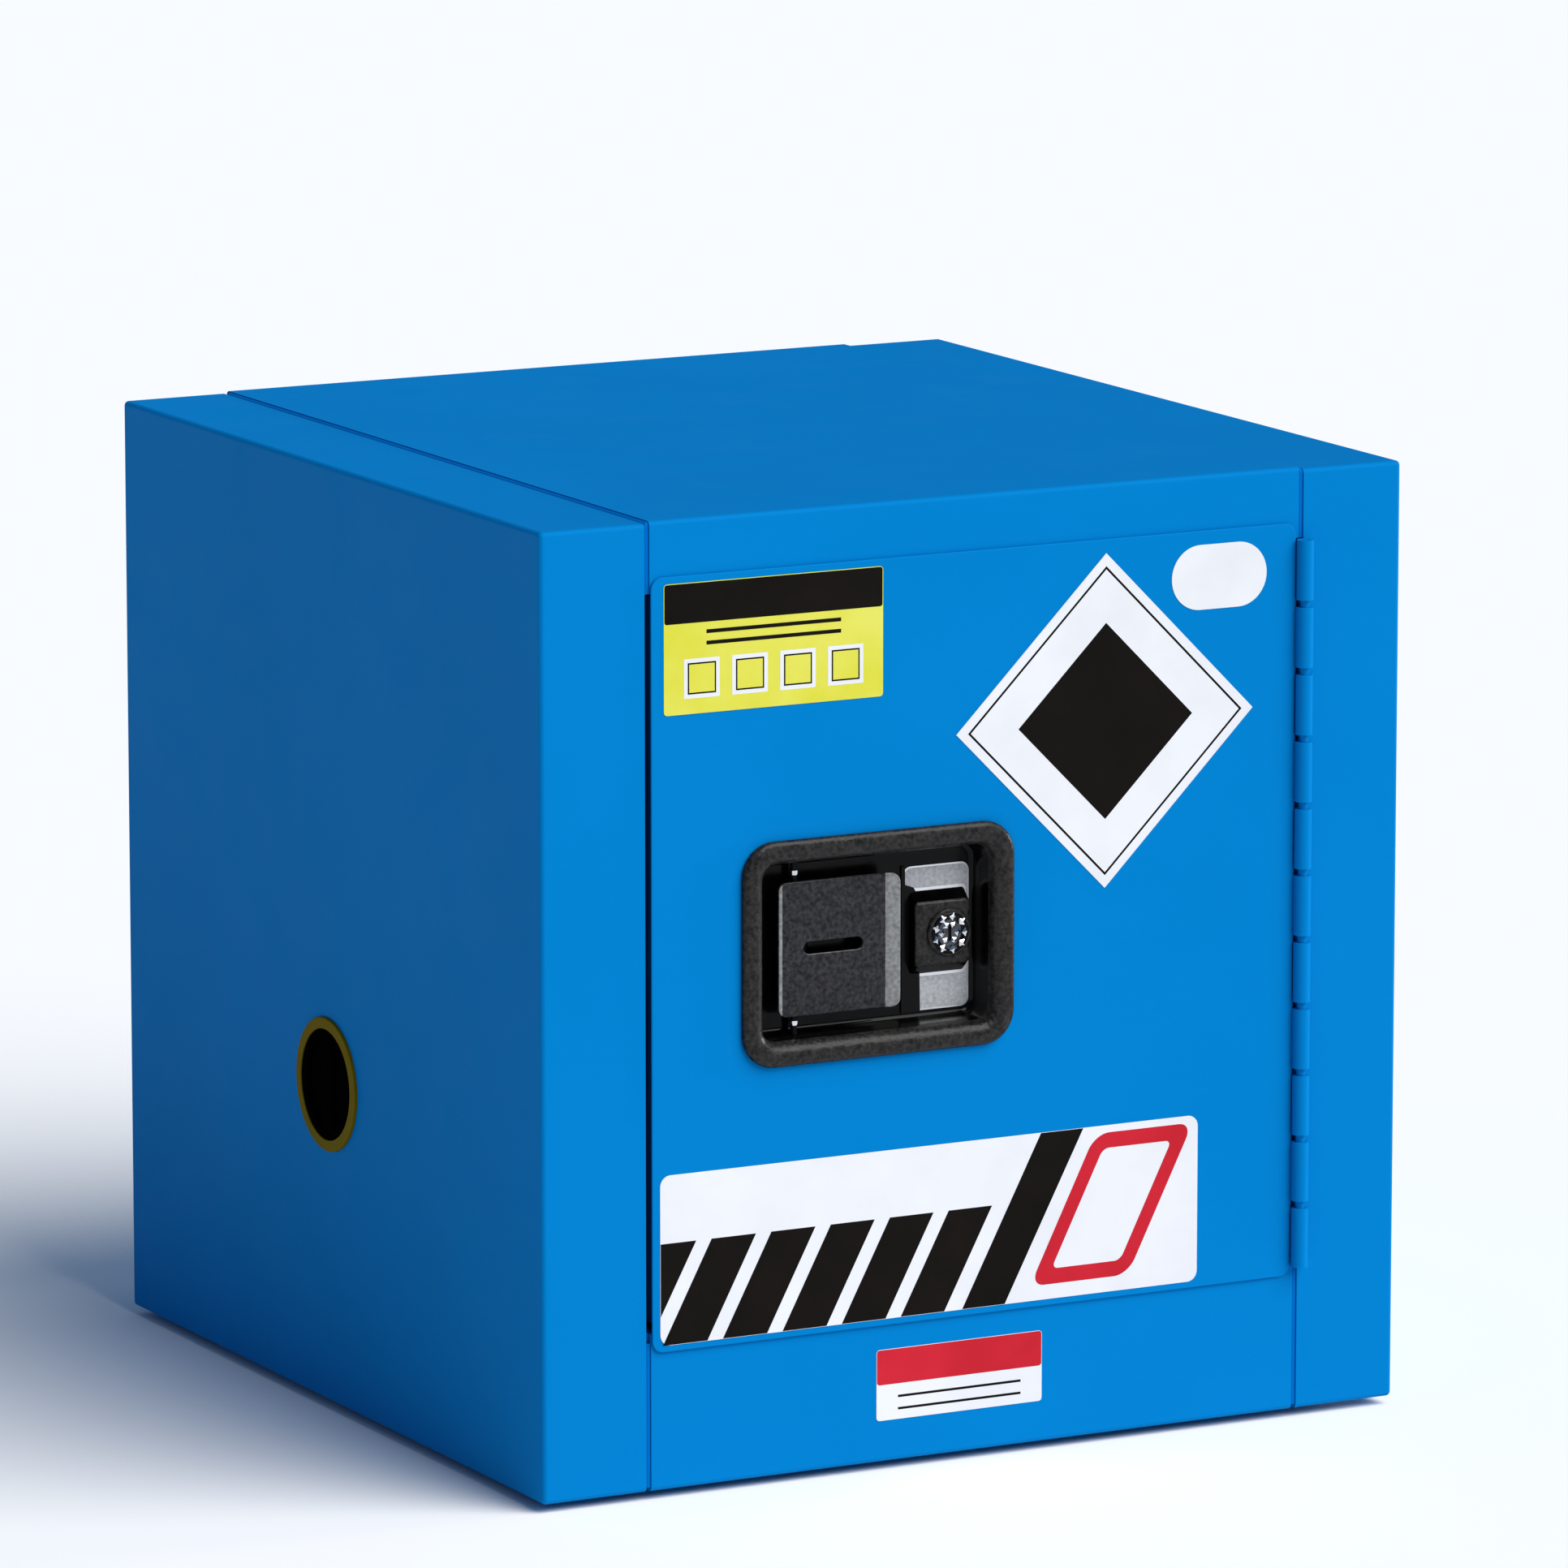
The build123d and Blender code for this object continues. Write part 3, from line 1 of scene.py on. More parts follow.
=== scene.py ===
"""Studio scene of a small countertop safety cabinet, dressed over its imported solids.

Sizes in this file are millimetres in the row frame: X to the right, Y into the cabinet, Z up.
Meshes are written in metres, so every piece lies where its solid does.
"""

import json
import logging
import math
from dataclasses import dataclass, field
from enum import Enum
from typing import Sequence

import bmesh
import bpy
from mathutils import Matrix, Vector

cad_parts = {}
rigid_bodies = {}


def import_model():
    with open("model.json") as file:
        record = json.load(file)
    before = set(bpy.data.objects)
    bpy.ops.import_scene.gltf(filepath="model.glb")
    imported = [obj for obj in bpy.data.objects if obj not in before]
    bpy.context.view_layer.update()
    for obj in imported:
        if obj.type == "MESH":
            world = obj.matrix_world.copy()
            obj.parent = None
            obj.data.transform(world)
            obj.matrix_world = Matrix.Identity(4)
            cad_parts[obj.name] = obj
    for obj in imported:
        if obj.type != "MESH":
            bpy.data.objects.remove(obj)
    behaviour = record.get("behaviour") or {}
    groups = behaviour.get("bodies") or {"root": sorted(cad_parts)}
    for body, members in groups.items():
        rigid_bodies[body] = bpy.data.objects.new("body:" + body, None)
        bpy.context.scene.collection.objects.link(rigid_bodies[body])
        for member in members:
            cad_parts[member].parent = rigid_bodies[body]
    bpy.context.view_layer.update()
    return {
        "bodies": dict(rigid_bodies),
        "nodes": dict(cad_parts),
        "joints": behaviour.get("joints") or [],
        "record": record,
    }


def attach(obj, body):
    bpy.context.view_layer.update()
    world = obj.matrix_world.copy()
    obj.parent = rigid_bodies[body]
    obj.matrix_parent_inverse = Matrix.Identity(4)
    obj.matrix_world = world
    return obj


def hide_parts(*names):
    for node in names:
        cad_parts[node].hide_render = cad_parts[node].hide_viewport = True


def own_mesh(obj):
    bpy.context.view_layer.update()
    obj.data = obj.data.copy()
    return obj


LOG = logging.getLogger("cabinet")
MM = 0.001
LATHE_PARTS = 64
Point = tuple[float, float, float]
Spot = tuple[float, float]
Outline = Sequence[Spot]


class Body(Enum):
    """Bodies that pieces ride on."""

    CABINET = "cabinet"
    DOOR = "door"
    PADDLE = "paddle"
    KEY_PLUG = "key_plug"


class Slot(Enum):
    """Material slots of the record, which new pieces name."""

    BLUE = "blue_powder_coat"
    BLACK_COAT = "black_textured_coat"
    CHROME = "chrome_plate"
    WIRE = "spring_steel"
    BRASS = "brass"
    WHITE_FILM = "white_vinyl"
    YELLOW_FILM = "yellow_vinyl"


class Axis(Enum):
    """Ways that the axis of a turned ring can point."""

    UP = "up"
    OUT_OF_DOOR = "out of the door"


def linear(code: str) -> tuple[float, float, float, float]:
    """Turns an sRGB hex colour to linear.

    Args:
        code: six hex digits.

    Returns:
        Linear red, green, blue and an alpha of one.
    """
    parts = [int(code[i : i + 2], 16) / 255 for i in (0, 2, 4)]
    red, green, blue = (p / 12.92 if p <= 0.04045 else ((p + 0.055) / 1.055) ** 2.4 for p in parts)
    return red, green, blue, 1.0


def per_metre(size: float) -> float:
    """Texture scale whose pattern repeats about every size millimetres."""
    return 1.0 / (size * MM)


def add(
    tree: bpy.types.NodeTree,
    kind: str,
    settings: dict[str, object] | None = None,
    inputs: dict[str | int, object] | None = None,
) -> bpy.types.Node:
    """Adds a node with its settings and links.

    Args:
        tree: the tree that gets the node.
        kind: the node's type.
        settings: properties of the node.
        inputs: values or output sockets for its inputs, by name or place.

    Returns:
        The new node.
    """
    node = tree.nodes.new(kind)
    for name, value in (settings or {}).items():
        setattr(node, name, value)
    for key, value in (inputs or {}).items():
        if isinstance(value, bpy.types.NodeSocket):
            tree.links.new(value, node.inputs[key])
        else:
            node.inputs[key].default_value = value
    return node


@dataclass(frozen=True)
class Finish:
    """A surface as it was made, with a material named for it."""

    name: str

    def material(self) -> bpy.types.Material:
        """Makes the finish's material once.

        Returns:
            The material.
        """
        made = bpy.data.materials.get(self.name)
        if made is None:
            made = bpy.data.materials.new(self.name)
            made.use_nodes = True
            tree = made.node_tree
            tree.nodes.clear()
            shader = add(tree, "ShaderNodeBsdfPrincipled", inputs=self.surface(tree))
            add(tree, "ShaderNodeOutputMaterial", inputs={"Surface": shader.outputs["BSDF"]})
        return made

    def surface(self, tree: bpy.types.NodeTree) -> dict[str, object]:
        """Gives a value or a socket for each input of the shader that the finish sets."""
        raise NotImplementedError


@dataclass(frozen=True)
class WorkedFinish(Finish):
    """A surface whose colour and gloss wander between two ends, over a relief.

    The tone, the gloss and the relief each follow clouds, given by the size of a cloud in
    millimetres and how many finer layers it has. The relief's depth is in millimetres.
    """

    dark: str
    light: str
    rough: Spot = (0.46, 0.54)
    specular: float = 0.5
    metallic: float = 0.0
    tone: Spot = (110.0, 3.0)
    gloss: Spot = (35.0, 3.0)
    relief: Spot = (1.8, 1.0)
    depth: float = 0.02
    strength: float = 0.5

    def pattern(self, tree: bpy.types.NodeTree) -> Sequence[bpy.types.NodeSocket | None]:
        """Adds the clouds, on Object coordinates.

        Args:
            tree: the material's tree.

        Returns:
            Sockets for the tone, the gloss and the relief.
        """
        place = add(tree, "ShaderNodeTexCoord").outputs["Object"]
        clouds = [
            add(
                tree,
                "ShaderNodeTexNoise",
                inputs={"Vector": place, "Scale": per_metre(size), "Detail": layers},
            )
            for size, layers in (self.tone, self.gloss, self.relief)
        ]
        return [cloud.outputs["Fac"] for cloud in clouds]

    def surface(self, tree: bpy.types.NodeTree) -> dict[str, object]:
        """Spreads the pattern over the two colours and the two ends of the gloss.

        Args:
            tree: the material's tree.

        Returns:
            A value or a socket for each input of the shader that the finish sets.
        """
        tone, gloss, relief = self.pattern(tree)
        # Most of a cloud's values lie here
        usual = {"From Min": 0.3, "From Max": 0.7}
        share, rough = (
            add(
                tree,
                "ShaderNodeMapRange",
                inputs={**usual, "Value": value, "To Min": low, "To Max": high},
            )
            for value, (low, high) in ((tone, (0.0, 1.0)), (gloss, self.rough))
        )
        colour = add(
            tree,
            "ShaderNodeMix",
            {"data_type": "RGBA"},
            {0: share.outputs["Result"], 6: linear(self.dark), 7: linear(self.light)},
        )
        found = {
            "Base Color": colour.outputs[2],
            "Roughness": rough.outputs["Result"],
            "Metallic": self.metallic,
            "Specular IOR Level": self.specular,
        }
        if relief is not None:
            bump = add(
                tree,
                "ShaderNodeBump",
                inputs={"Height": relief, "Distance": self.depth * MM, "Strength": self.strength},
            )
            found["Normal"] = bump.outputs["Normal"]
        return found


@dataclass(frozen=True)
class PowderCoat(WorkedFinish):
    """Polyester powder baked on sheet steel: even satin colour with an orange peel of 1.8 mm."""

    specular: float = 0.012


@dataclass(frozen=True)
class WrinkleCoat(WorkedFinish):
    """Textured powder on a pressed steel latch: a fine leathery grain that glints.

    The grain is drawn at 1.8 mm, three times the real one, so that it shows.
    """

    rough: Spot = (0.34, 0.48)
    specular: float = 0.22
    tone: Spot = (1.8, 2.0)
    gloss: Spot = (14.0, 3.0)
    relief: Spot = (1.8, 2.0)
    depth: float = 0.3
    strength: float = 0.8


@dataclass(frozen=True)
class Enamel(WorkedFinish):
    """Glossy enamel that pooled as it dried: slow waves of 9 mm in its shine."""

    rough: Spot = (0.16, 0.26)
    specular: float = 0.12
    tone: Spot = (9.0, 1.0)
    gloss: Spot = (9.0, 1.0)
    relief: Spot = (9.0, 1.0)
    depth: float = 0.05
    strength: float = 0.4


@dataclass(frozen=True)
class PlatedMetal(WorkedFinish):
    """Plated, drawn or turned metal: a cloudy shine and fine handling marks.

    The marks are drawn at 0.6 mm, several times the real ones, so that they show close by.
    """

    metallic: float = 1.0
    tone: Spot = (12.0, 3.0)
    gloss: Spot = (12.0, 3.0)
    relief: Spot = (0.6, 2.0)
    depth: float = 0.01
    strength: float = 0.3


@dataclass(frozen=True)
class SpangledSheet(WorkedFinish):
    """Hot-dip galvanised sheet: flat zinc crystals of 9 mm that catch the light in turn."""

    rough: Spot = (0.4, 0.46)
    metallic: float = 1.0
    spangle: float = 9.0

    def pattern(self, tree: bpy.types.NodeTree) -> Sequence[bpy.types.NodeSocket | None]:
        """Adds crystals that each have their own grey and their own gloss, without relief.

        Args:
            tree: the material's tree.

        Returns:
            Sockets for the tone and the gloss, and none for the relief.
        """
        place = add(tree, "ShaderNodeTexCoord").outputs["Object"]
        crystals = add(
            tree,
            "ShaderNodeTexVoronoi",
            inputs={"Vector": place, "Scale": per_metre(self.spangle)},
        )
        own = add(tree, "ShaderNodeSeparateColor", inputs={0: crystals.outputs["Color"]})
        return own.outputs[0], own.outputs[1], None


@dataclass(frozen=True)
class Moulded(WorkedFinish):
    """Moulded rubber or plastic: dark and dull, with the grain of its tool.

    The grain is drawn at 0.8 mm, about three times the real one, so that it shows.
    """

    specular: float = 0.12
    tone: Spot = (20.0, 3.0)
    gloss: Spot = (20.0, 3.0)
    relief: Spot = (0.8, 2.0)
    depth: float = 0.06
    strength: float = 0.4


@dataclass(frozen=True)
class Film(WorkedFinish):
    """Printed vinyl film or its ink: smooth and even, with the 7 mm ripple of a stuck sheet."""

    rough: Spot = (0.33, 0.43)
    specular: float = 0.3
    tone: Spot = (26.0, 3.0)
    gloss: Spot = (7.0, 1.0)
    relief: Spot = (7.0, 1.0)
    depth: float = 0.03
    strength: float = 0.4


@dataclass(frozen=True)
class StudioPaper(Finish):
    """Seamless paper under the object, in one tone and without shine."""

    tone: str

    def surface(self, tree: bpy.types.NodeTree) -> dict[str, object]:
        """Gives a value for each input of the shader that the paper sets."""
        return {"Base Color": linear(self.tone), "Roughness": 0.9, "Specular IOR Level": 0.0}


# Powder baked on the outer sheets: one deep satin blue that the faint peel keeps from flatness
BLUE_COAT = PowderCoat("powder_coat_blue", "0176BB", "0278BE")
# The same powder on the inner walls: a little darker and duller than the outer coat
INNER_BLUE_COAT = PowderCoat("powder_coat_blue_inside", "0170B3", "0273B7", (0.51, 0.59), 0.03)
# Sealer bead in the seams: its deeper blue is painted shade, the groove's shade laid into the
# colour as a thin line between the sheets
SEALER_PAINTED_SHADE = PowderCoat("sealer_blue_painted_shade", "0064B4", "0066B8")
# Olive baked paint on the vent rings: a dull dark yellow beside the blue
VENT_PAINT = PowderCoat("baked_olive_paint", "6B5A0A", "75630C")
# Textured powder on the pressed rim: black leather with a soft light along its crown
LATCH_COAT = WrinkleCoat("wrinkle_coat_black", "020202", "2D2A29", (0.29, 0.43))
# The same powder on the flat paddle: a duller, slightly bluer black
PADDLE_COAT = WrinkleCoat("wrinkle_coat_paddle", "050506", "333236")
# Pale grey copy of the textured powder along the lip and the edges: painted highlight, the
# paddle's sheen laid into its colour
PADDLE_HIGHLIGHT_COAT = WrinkleCoat("wrinkle_coat_painted_highlight", "6C6C6B", "939392", specular=0.4)
# Pale grey textured powder behind the lock: painted reflection, the black recess floor's sheen
# laid in as a light matt field between the black parts
LATCH_PAINTED_REFLECTION = WrinkleCoat("wrinkle_coat_grey_painted_reflection", "9A9B9E", "BABBBE", specular=0.4)
# Bright steel strips round the grey plate and the block: painted highlight, the edges' light laid
# in as a thin bright line
LATCH_HIGHLIGHT_TRIM = PlatedMetal("bright_steel_painted_highlight", "E4E4E6", "F4F4F5", (0.3, 0.5))
# Gloss enamel in the drawn recess and on the lock ring: nearly black. It is darker than the rim's
# coat in the recess, on the step and on the block's sides as painted shade, and it has small hard
# shines
LATCH_ENAMEL_AND_SHADE = Enamel("gloss_enamel_black_and_painted_shade", "020202", "060606")
# Bright zinc plate on latch works and screws: cool pale metal with a soft sheen
ZINC_PLATE = PlatedMetal("zinc_plate", "B9BCBA", "D2D4D2", (0.24, 0.4))
# Black oxide on the paddle's pin: dark oily steel with a blurred shine
BLACK_OXIDE = PlatedMetal("black_oxide_steel", "161618", "232325", (0.34, 0.56))
# Drawn wire of the springs: grey steel whose shine runs along each turn
SPRING_WIRE = PlatedMetal(
    "drawn_spring_wire", "8C8C8F", "A9A9AC", (0.21, 0.35), tone=(6.0, 3.0), gloss=(6.0, 3.0)
)
# Satin nickel of the key plug: smoky grey metal between the bright facets
PLUG_NICKEL = PlatedMetal(
    "satin_nickel_dark", "38393C", "5E5F64", (0.225, 0.375), tone=(3.0, 3.0), gloss=(3.0, 3.0)
)
# Polished chrome on facets and collars: hard white sparks
CHROME = PlatedMetal(
    "polished_chrome", "CFD1D4", "E2E3E6", (0.0525, 0.0875), tone=(8.0, 3.0), gloss=(8.0, 3.0)
)
# Turned brass of the ground stud: warm yellow metal with a soft shine
BRASS = PlatedMetal("turned_brass", "A8812F", "C29A45", (0.195, 0.325))
# Galvanised sheet of shelf, rails and spacers: pale grey with faint crystals
ZINC_SHEET = SpangledSheet("galvanised_sheet", "A4A9AA", "B6BBBB")
# Moulded rubber of feet and gasket: a matt black that swallows light
RUBBER = Moulded("moulded_rubber_black", "101010", "1A1A1A", (0.72, 0.84))
# Moulded plastic of the bungs: the dark of an open hole from afar
BUNG_PLASTIC = Moulded("moulded_plastic_black", "040302", "070504", (0.44, 0.56), 0.0)
# White vinyl film: a clean flat white that ends sharply on the blue
WHITE_FILM = Film("vinyl_film_white", "D9DADE", "E0E1E5")
# Yellow vinyl film: a cool light yellow, a little uneven
YELLOW_FILM = Film("vinyl_film_yellow", "CFCC34", "D8D558")
# Black ink printed on film: a warm, nearly matt black
BLACK_INK = Film("printed_ink_black", "080603", "100B06", (0.45, 0.55), 0.08)
# Red ink printed on film: a full even red
RED_INK = Film("printed_ink_red", "B80F22", "C4172B", (0.35, 0.45), 0.2)
# Uncoated studio paper: nearly white, so that the object stands free
FLOOR_PAPER = StudioPaper("studio_paper", "FEFCFA")


def placed(name: str, data: bpy.types.ID) -> bpy.types.Object:
    """Puts a mesh, a lamp or a camera into the scene.

    Args:
        name: name of the object.
        data: what the object shows.

    Returns:
        The object, at the origin.
    """
    made = bpy.data.objects.new(name, data)
    bpy.context.scene.collection.objects.link(made)
    return made


def formed(
    name: str, shape: bmesh.types.BMesh, materials: Sequence[bpy.types.Material]
) -> bpy.types.Object:
    """Turns an edit mesh into an object and frees it.

    Args:
        name: name of the object.
        shape: the edit mesh, in metres.
        materials: its material slots.

    Returns:
        The object.
    """
    mesh = bpy.data.meshes.new(name)
    shape.to_mesh(mesh)
    shape.free()
    for material in materials:
        mesh.materials.append(material)
    return placed(name, mesh)


def piece_from(
    name: str, vertices: Sequence[Point], faces: Sequence[Sequence[int]], finish: Finish
) -> bpy.types.Object:
    """Makes a mesh object from points in millimetres.

    Args:
        name: name of the object.
        vertices: its points.
        faces: point numbers of each face.
        finish: the finish of its only slot.

    Returns:
        The object, with its doubles merged and its faces outwards.
    """
    shape = bmesh.new()
    points = [shape.verts.new(Vector(vertex) * MM) for vertex in vertices]
    for face in faces:
        shape.faces.new([points[number] for number in face])
    bmesh.ops.remove_doubles(shape, verts=shape.verts, dist=1e-7)
    bmesh.ops.recalc_face_normals(shape, faces=shape.faces)
    return formed(name, shape, [finish.material()])


def copied(node: bpy.types.Object, name: str, finish: Finish) -> bpy.types.Object:
    """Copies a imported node's mesh into a piece with its own finish.

    Args:
        node: the node.
        name: name of the piece.
        finish: the finish of its only slot.

    Returns:
        The piece, in which the loose triangles of the node are still apart.
    """
    mesh = node.data.copy()
    mesh.materials.clear()
    mesh.materials.append(finish.material())
    return placed(name, mesh)


def smooth(obj: bpy.types.Object, angle: float = 35.0) -> None:
    """Shades an object smooth, but keeps its sharp edges.

    Args:
        obj: the object.
        angle: an edge that bends more than this many degrees stays sharp.
    """
    for face in obj.data.polygons:
        face.use_smooth = True
    obj.data.set_sharp_from_angle(angle=math.radians(angle))


def baked(obj: bpy.types.Object, name: str) -> bpy.types.Object:
    """Replaces an object that has live modifiers by a plain mesh of its result.

    Args:
        obj: the object with its modifiers.
        name: name of the new object.

    Returns:
        The plain object.
    """
    graph = bpy.context.evaluated_depsgraph_get()
    mesh = bpy.data.meshes.new_from_object(obj.evaluated_get(graph), depsgraph=graph)
    bpy.data.objects.remove(obj)
    mesh.name = name
    return placed(name, mesh)


def joined(name: str, pieces: Sequence[bpy.types.Object]) -> bpy.types.Object:
    """Joins plain pieces into one that keeps the finish of each.

    Args:
        name: name of the new object.
        pieces: objects with one material each; they are removed.

    Returns:
        The joined object.
    """
    shape = bmesh.new()
    materials = []
    for piece in pieces:
        finish = piece.data.materials[piece.data.polygons[0].material_index]
        if finish not in materials:
            materials.append(finish)
        for face in piece.data.polygons:
            face.material_index = materials.index(finish)
        shape.from_mesh(piece.data)
        bpy.data.objects.remove(piece)
    return formed(name, shape, materials)


def walls(rows: int, count: int, closed: bool = False) -> list[list[int]]:
    """Numbers the faces between rows of points that each go round.

    Args:
        rows: number of rows.
        count: number of points in a row.
        closed: true if the last row meets the first.

    Returns:
        Point numbers of each face.
    """
    faces = []
    for row in range(rows if closed else rows - 1):
        low, high = row * count, (row + 1) % rows * count
        for i in range(count):
            j = (i + 1) % count
            faces.append([low + i, low + j, high + j, high + i])
    return faces


def lathed(
    name: str, profile: Outline, middle: Point, axis: Axis, finish: Finish
) -> bpy.types.Object:
    """Turns a closed profile into a ring.

    Args:
        name: name of the piece.
        profile: radius and height of each corner of the ring's section.
        middle: point on the axis at height zero.
        axis: the way of growing height.
        finish: its finish.

    Returns:
        The ring, smooth between its edges.
    """
    vertices = []
    for radius, rise in profile:
        for i in range(LATHE_PARTS):
            turn = 2 * math.pi * i / LATHE_PARTS
            across, other = radius * math.cos(turn), radius * math.sin(turn)
            shift = (across, other, rise) if axis is Axis.UP else (across, -rise, other)
            vertices.append(tuple(m + d for m, d in zip(middle, shift)))
    ring = piece_from(name, vertices, walls(len(profile), LATHE_PARTS, closed=True), finish)
    smooth(ring, 25)
    return ring


def rounded(middle: Spot, size: Spot, radius: float, steps: int = 8) -> list[Spot]:
    """Points of a rounded rectangle in X and Z, going round from its right side.

    Args:
        middle: its middle.
        size: its width and height.
        radius: radius of its corners.
        steps: parts of each corner.

    Returns:
        The points.
    """
    half_w, half_h = size[0] / 2 - radius, size[1] / 2 - radius
    points = []
    for quarter, (sx, sz) in enumerate(((1, 1), (-1, 1), (-1, -1), (1, -1))):
        for step in range(steps + 1):
            turn = math.pi / 2 * (quarter + step / steps)
            x = middle[0] + sx * half_w + radius * math.cos(turn)
            z = middle[1] + sz * half_h + radius * math.sin(turn)
            points.append((x, z))
    return points


def plate(
    name: str, outline: Outline, y_face: float, thick: float, finish: Finish
) -> bpy.types.Object:
    """Makes a flat plate that faces the front.

    Args:
        name: name of the piece.
        outline: its points in X and Z.
        y_face: Y of its front.
        thick: its thickness.
        finish: its finish.

    Returns:
        The plate.
    """
    count = len(outline)
    vertices = [(x, y, z) for y in (y_face, y_face + thick) for x, z in outline]
    faces = [[*range(count)], [*range(count, 2 * count)], *walls(2, count)]
    return piece_from(name, vertices, faces, finish)


def frame_plate(
    name: str, outer: Outline, inner: Outline, y_face: float, thick: float, finish: Finish
) -> bpy.types.Object:
    """Makes a flat frame between two outlines.

    Args:
        name: name of the piece.
        outer: points of the outer outline in X and Z.
        inner: as many points of the inner one.
        y_face: Y of its front.
        thick: its thickness.
        finish: its finish.

    Returns:
        The frame.
    """
    back = y_face + thick
    rows = ((outer, y_face), (inner, y_face), (inner, back), (outer, back))
    vertices = [(x, y, z) for line, y in rows for x, z in line]
    return piece_from(name, vertices, walls(len(rows), len(outer), closed=True), finish)


def metres(size: int | float | Point) -> int | float | list[float]:
    """Turns a length or a point to metres, and leaves a count as it is.

    Args:
        size: a whole number is a count, and all else is millimetres.

    Returns:
        The value for a modifier's input.
    """
    if isinstance(size, int):
        return size
    return size * MM if isinstance(size, float) else [part * MM for part in size]


@dataclass(frozen=True)
class NodeTool:
    """A Geometry Nodes tree with named inputs that one modifier runs once."""

    name: str
    sockets: tuple[tuple[str, str], ...]

    def shape(
        self, tree: bpy.types.NodeTree, given: bpy.types.NodeOutputs
    ) -> bpy.types.NodeSocket:
        """Adds the tool's own nodes and gives the socket of their shape."""
        raise NotImplementedError

    def make(self, name: str, finish: Finish, *sizes: int | float | Point) -> bpy.types.Object:
        """Builds the tree, runs it and keeps the plain mesh.

        Args:
            name: name of the piece.
            finish: its finish.
            sizes: a value for each named input in turn; lengths are millimetres.

        Returns:
            The piece.
        """
        tree = bpy.data.node_groups.new(self.name, "GeometryNodeTree")
        carrier = placed(name + "_maker", bpy.data.meshes.new(name + "_maker"))
        modifier = carrier.modifiers.new("maker", "NODES")
        values = [*map(metres, sizes), finish.material()]
        labels = (*self.sockets, ("Finish", "NodeSocketMaterial"))
        inputs = [
            tree.interface.new_socket(label, in_out="INPUT", socket_type=kind)
            for label, kind in labels
        ]
        tree.interface.new_socket("Geometry", in_out="OUTPUT", socket_type="NodeSocketGeometry")
        given = add(tree, "NodeGroupInput").outputs
        real = add(
            tree, "GeometryNodeRealizeInstances", inputs={"Geometry": self.shape(tree, given)}
        )
        dressed = add(
            tree,
            "GeometryNodeSetMaterial",
            inputs={"Geometry": real.outputs[0], "Material": given["Finish"]},
        )
        add(tree, "NodeGroupOutput", inputs={0: dressed.outputs[0]})
        modifier.node_group = tree
        for item, value in zip(inputs, values, strict=True):
            modifier[item.identifier] = value
        return baked(carrier, name)


@dataclass(frozen=True)
class BarRow(NodeTool):
    """Flat bars of ink in a row, whose tops can stand right of their feet."""

    name: str = "bar_row"
    sockets: tuple[tuple[str, str], ...] = (
        ("Count", "NodeSocketInt"),
        ("Start", "NodeSocketVector"),
        ("Step", "NodeSocketVector"),
        ("Bar", "NodeSocketVector"),
        ("Lean", "NodeSocketFloat"),
    )

    def shape(
        self, tree: bpy.types.NodeTree, given: bpy.types.NodeOutputs
    ) -> bpy.types.NodeSocket:
        """Sets a leaning bar on each point of a line.

        Args:
            tree: the tree.
            given: its inputs: count, middle of the first bar, way to the next one, width,
                thickness and height of a bar, and how far its top leans to the right.

        Returns:
            The socket of the bars.
        """
        line = add(
            tree,
            "GeometryNodeMeshLine",
            {"mode": "OFFSET"},
            {"Count": given["Count"], "Start Location": given["Start"], "Offset": given["Step"]},
        )
        bar = add(tree, "GeometryNodeMeshCube", inputs={"Size": given["Bar"]})
        place = add(tree, "GeometryNodeInputPosition")
        own = add(tree, "ShaderNodeSeparateXYZ", inputs={0: place.outputs[0]})
        size = add(tree, "ShaderNodeSeparateXYZ", inputs={0: given["Bar"]})
        height = add(
            tree,
            "ShaderNodeMath",
            {"operation": "DIVIDE"},
            {0: own.outputs["Z"], 1: size.outputs["Z"]},
        )
        shift = add(
            tree,
            "ShaderNodeMath",
            {"operation": "MULTIPLY"},
            {0: height.outputs[0], 1: given["Lean"]},
        )
        offset = add(tree, "ShaderNodeCombineXYZ", inputs={"X": shift.outputs[0]})
        leaning = add(
            tree,
            "GeometryNodeSetPosition",
            inputs={"Geometry": bar.outputs["Mesh"], "Offset": offset.outputs[0]},
        )
        bars = add(
            tree,
            "GeometryNodeInstanceOnPoints",
            inputs={"Points": line.outputs[0], "Instance": leaning.outputs[0]},
        )
        return bars.outputs[0]


@dataclass(frozen=True)
class RivetRow(NodeTool):
    """Domed rivet heads in a row on a hinge leaf."""

    name: str = "rivet_row"
    sockets: tuple[tuple[str, str], ...] = (
        ("Count", "NodeSocketInt"),
        ("Start", "NodeSocketVector"),
        ("Step", "NodeSocketVector"),
        ("Head", "NodeSocketVector"),
    )

    def shape(
        self, tree: bpy.types.NodeTree, given: bpy.types.NodeOutputs
    ) -> bpy.types.NodeSocket:
        """Sets a flattened ball on each point of a line.

        Args:
            tree: the tree.
            given: its inputs: count, middle of the first head, way to the next one, and half
                sizes of a head.

        Returns:
            The socket of the heads.
        """
        line = add(
            tree,
            "GeometryNodeMeshLine",
            {"mode": "OFFSET"},
            {"Count": given["Count"], "Start Location": given["Start"], "Offset": given["Step"]},
        )
        ball = add(
            tree, "GeometryNodeMeshUVSphere", inputs={"Segments": 20, "Rings": 12, "Radius": 1.0}
        )
        soft = add(tree, "GeometryNodeSetShadeSmooth", inputs={"Geometry": ball.outputs["Mesh"]})
        heads = add(
            tree,
            "GeometryNodeInstanceOnPoints",
            inputs={
                "Points": line.outputs[0],
                "Instance": soft.outputs[0],
                "Scale": given["Head"],
            },
        )
        return heads.outputs[0]


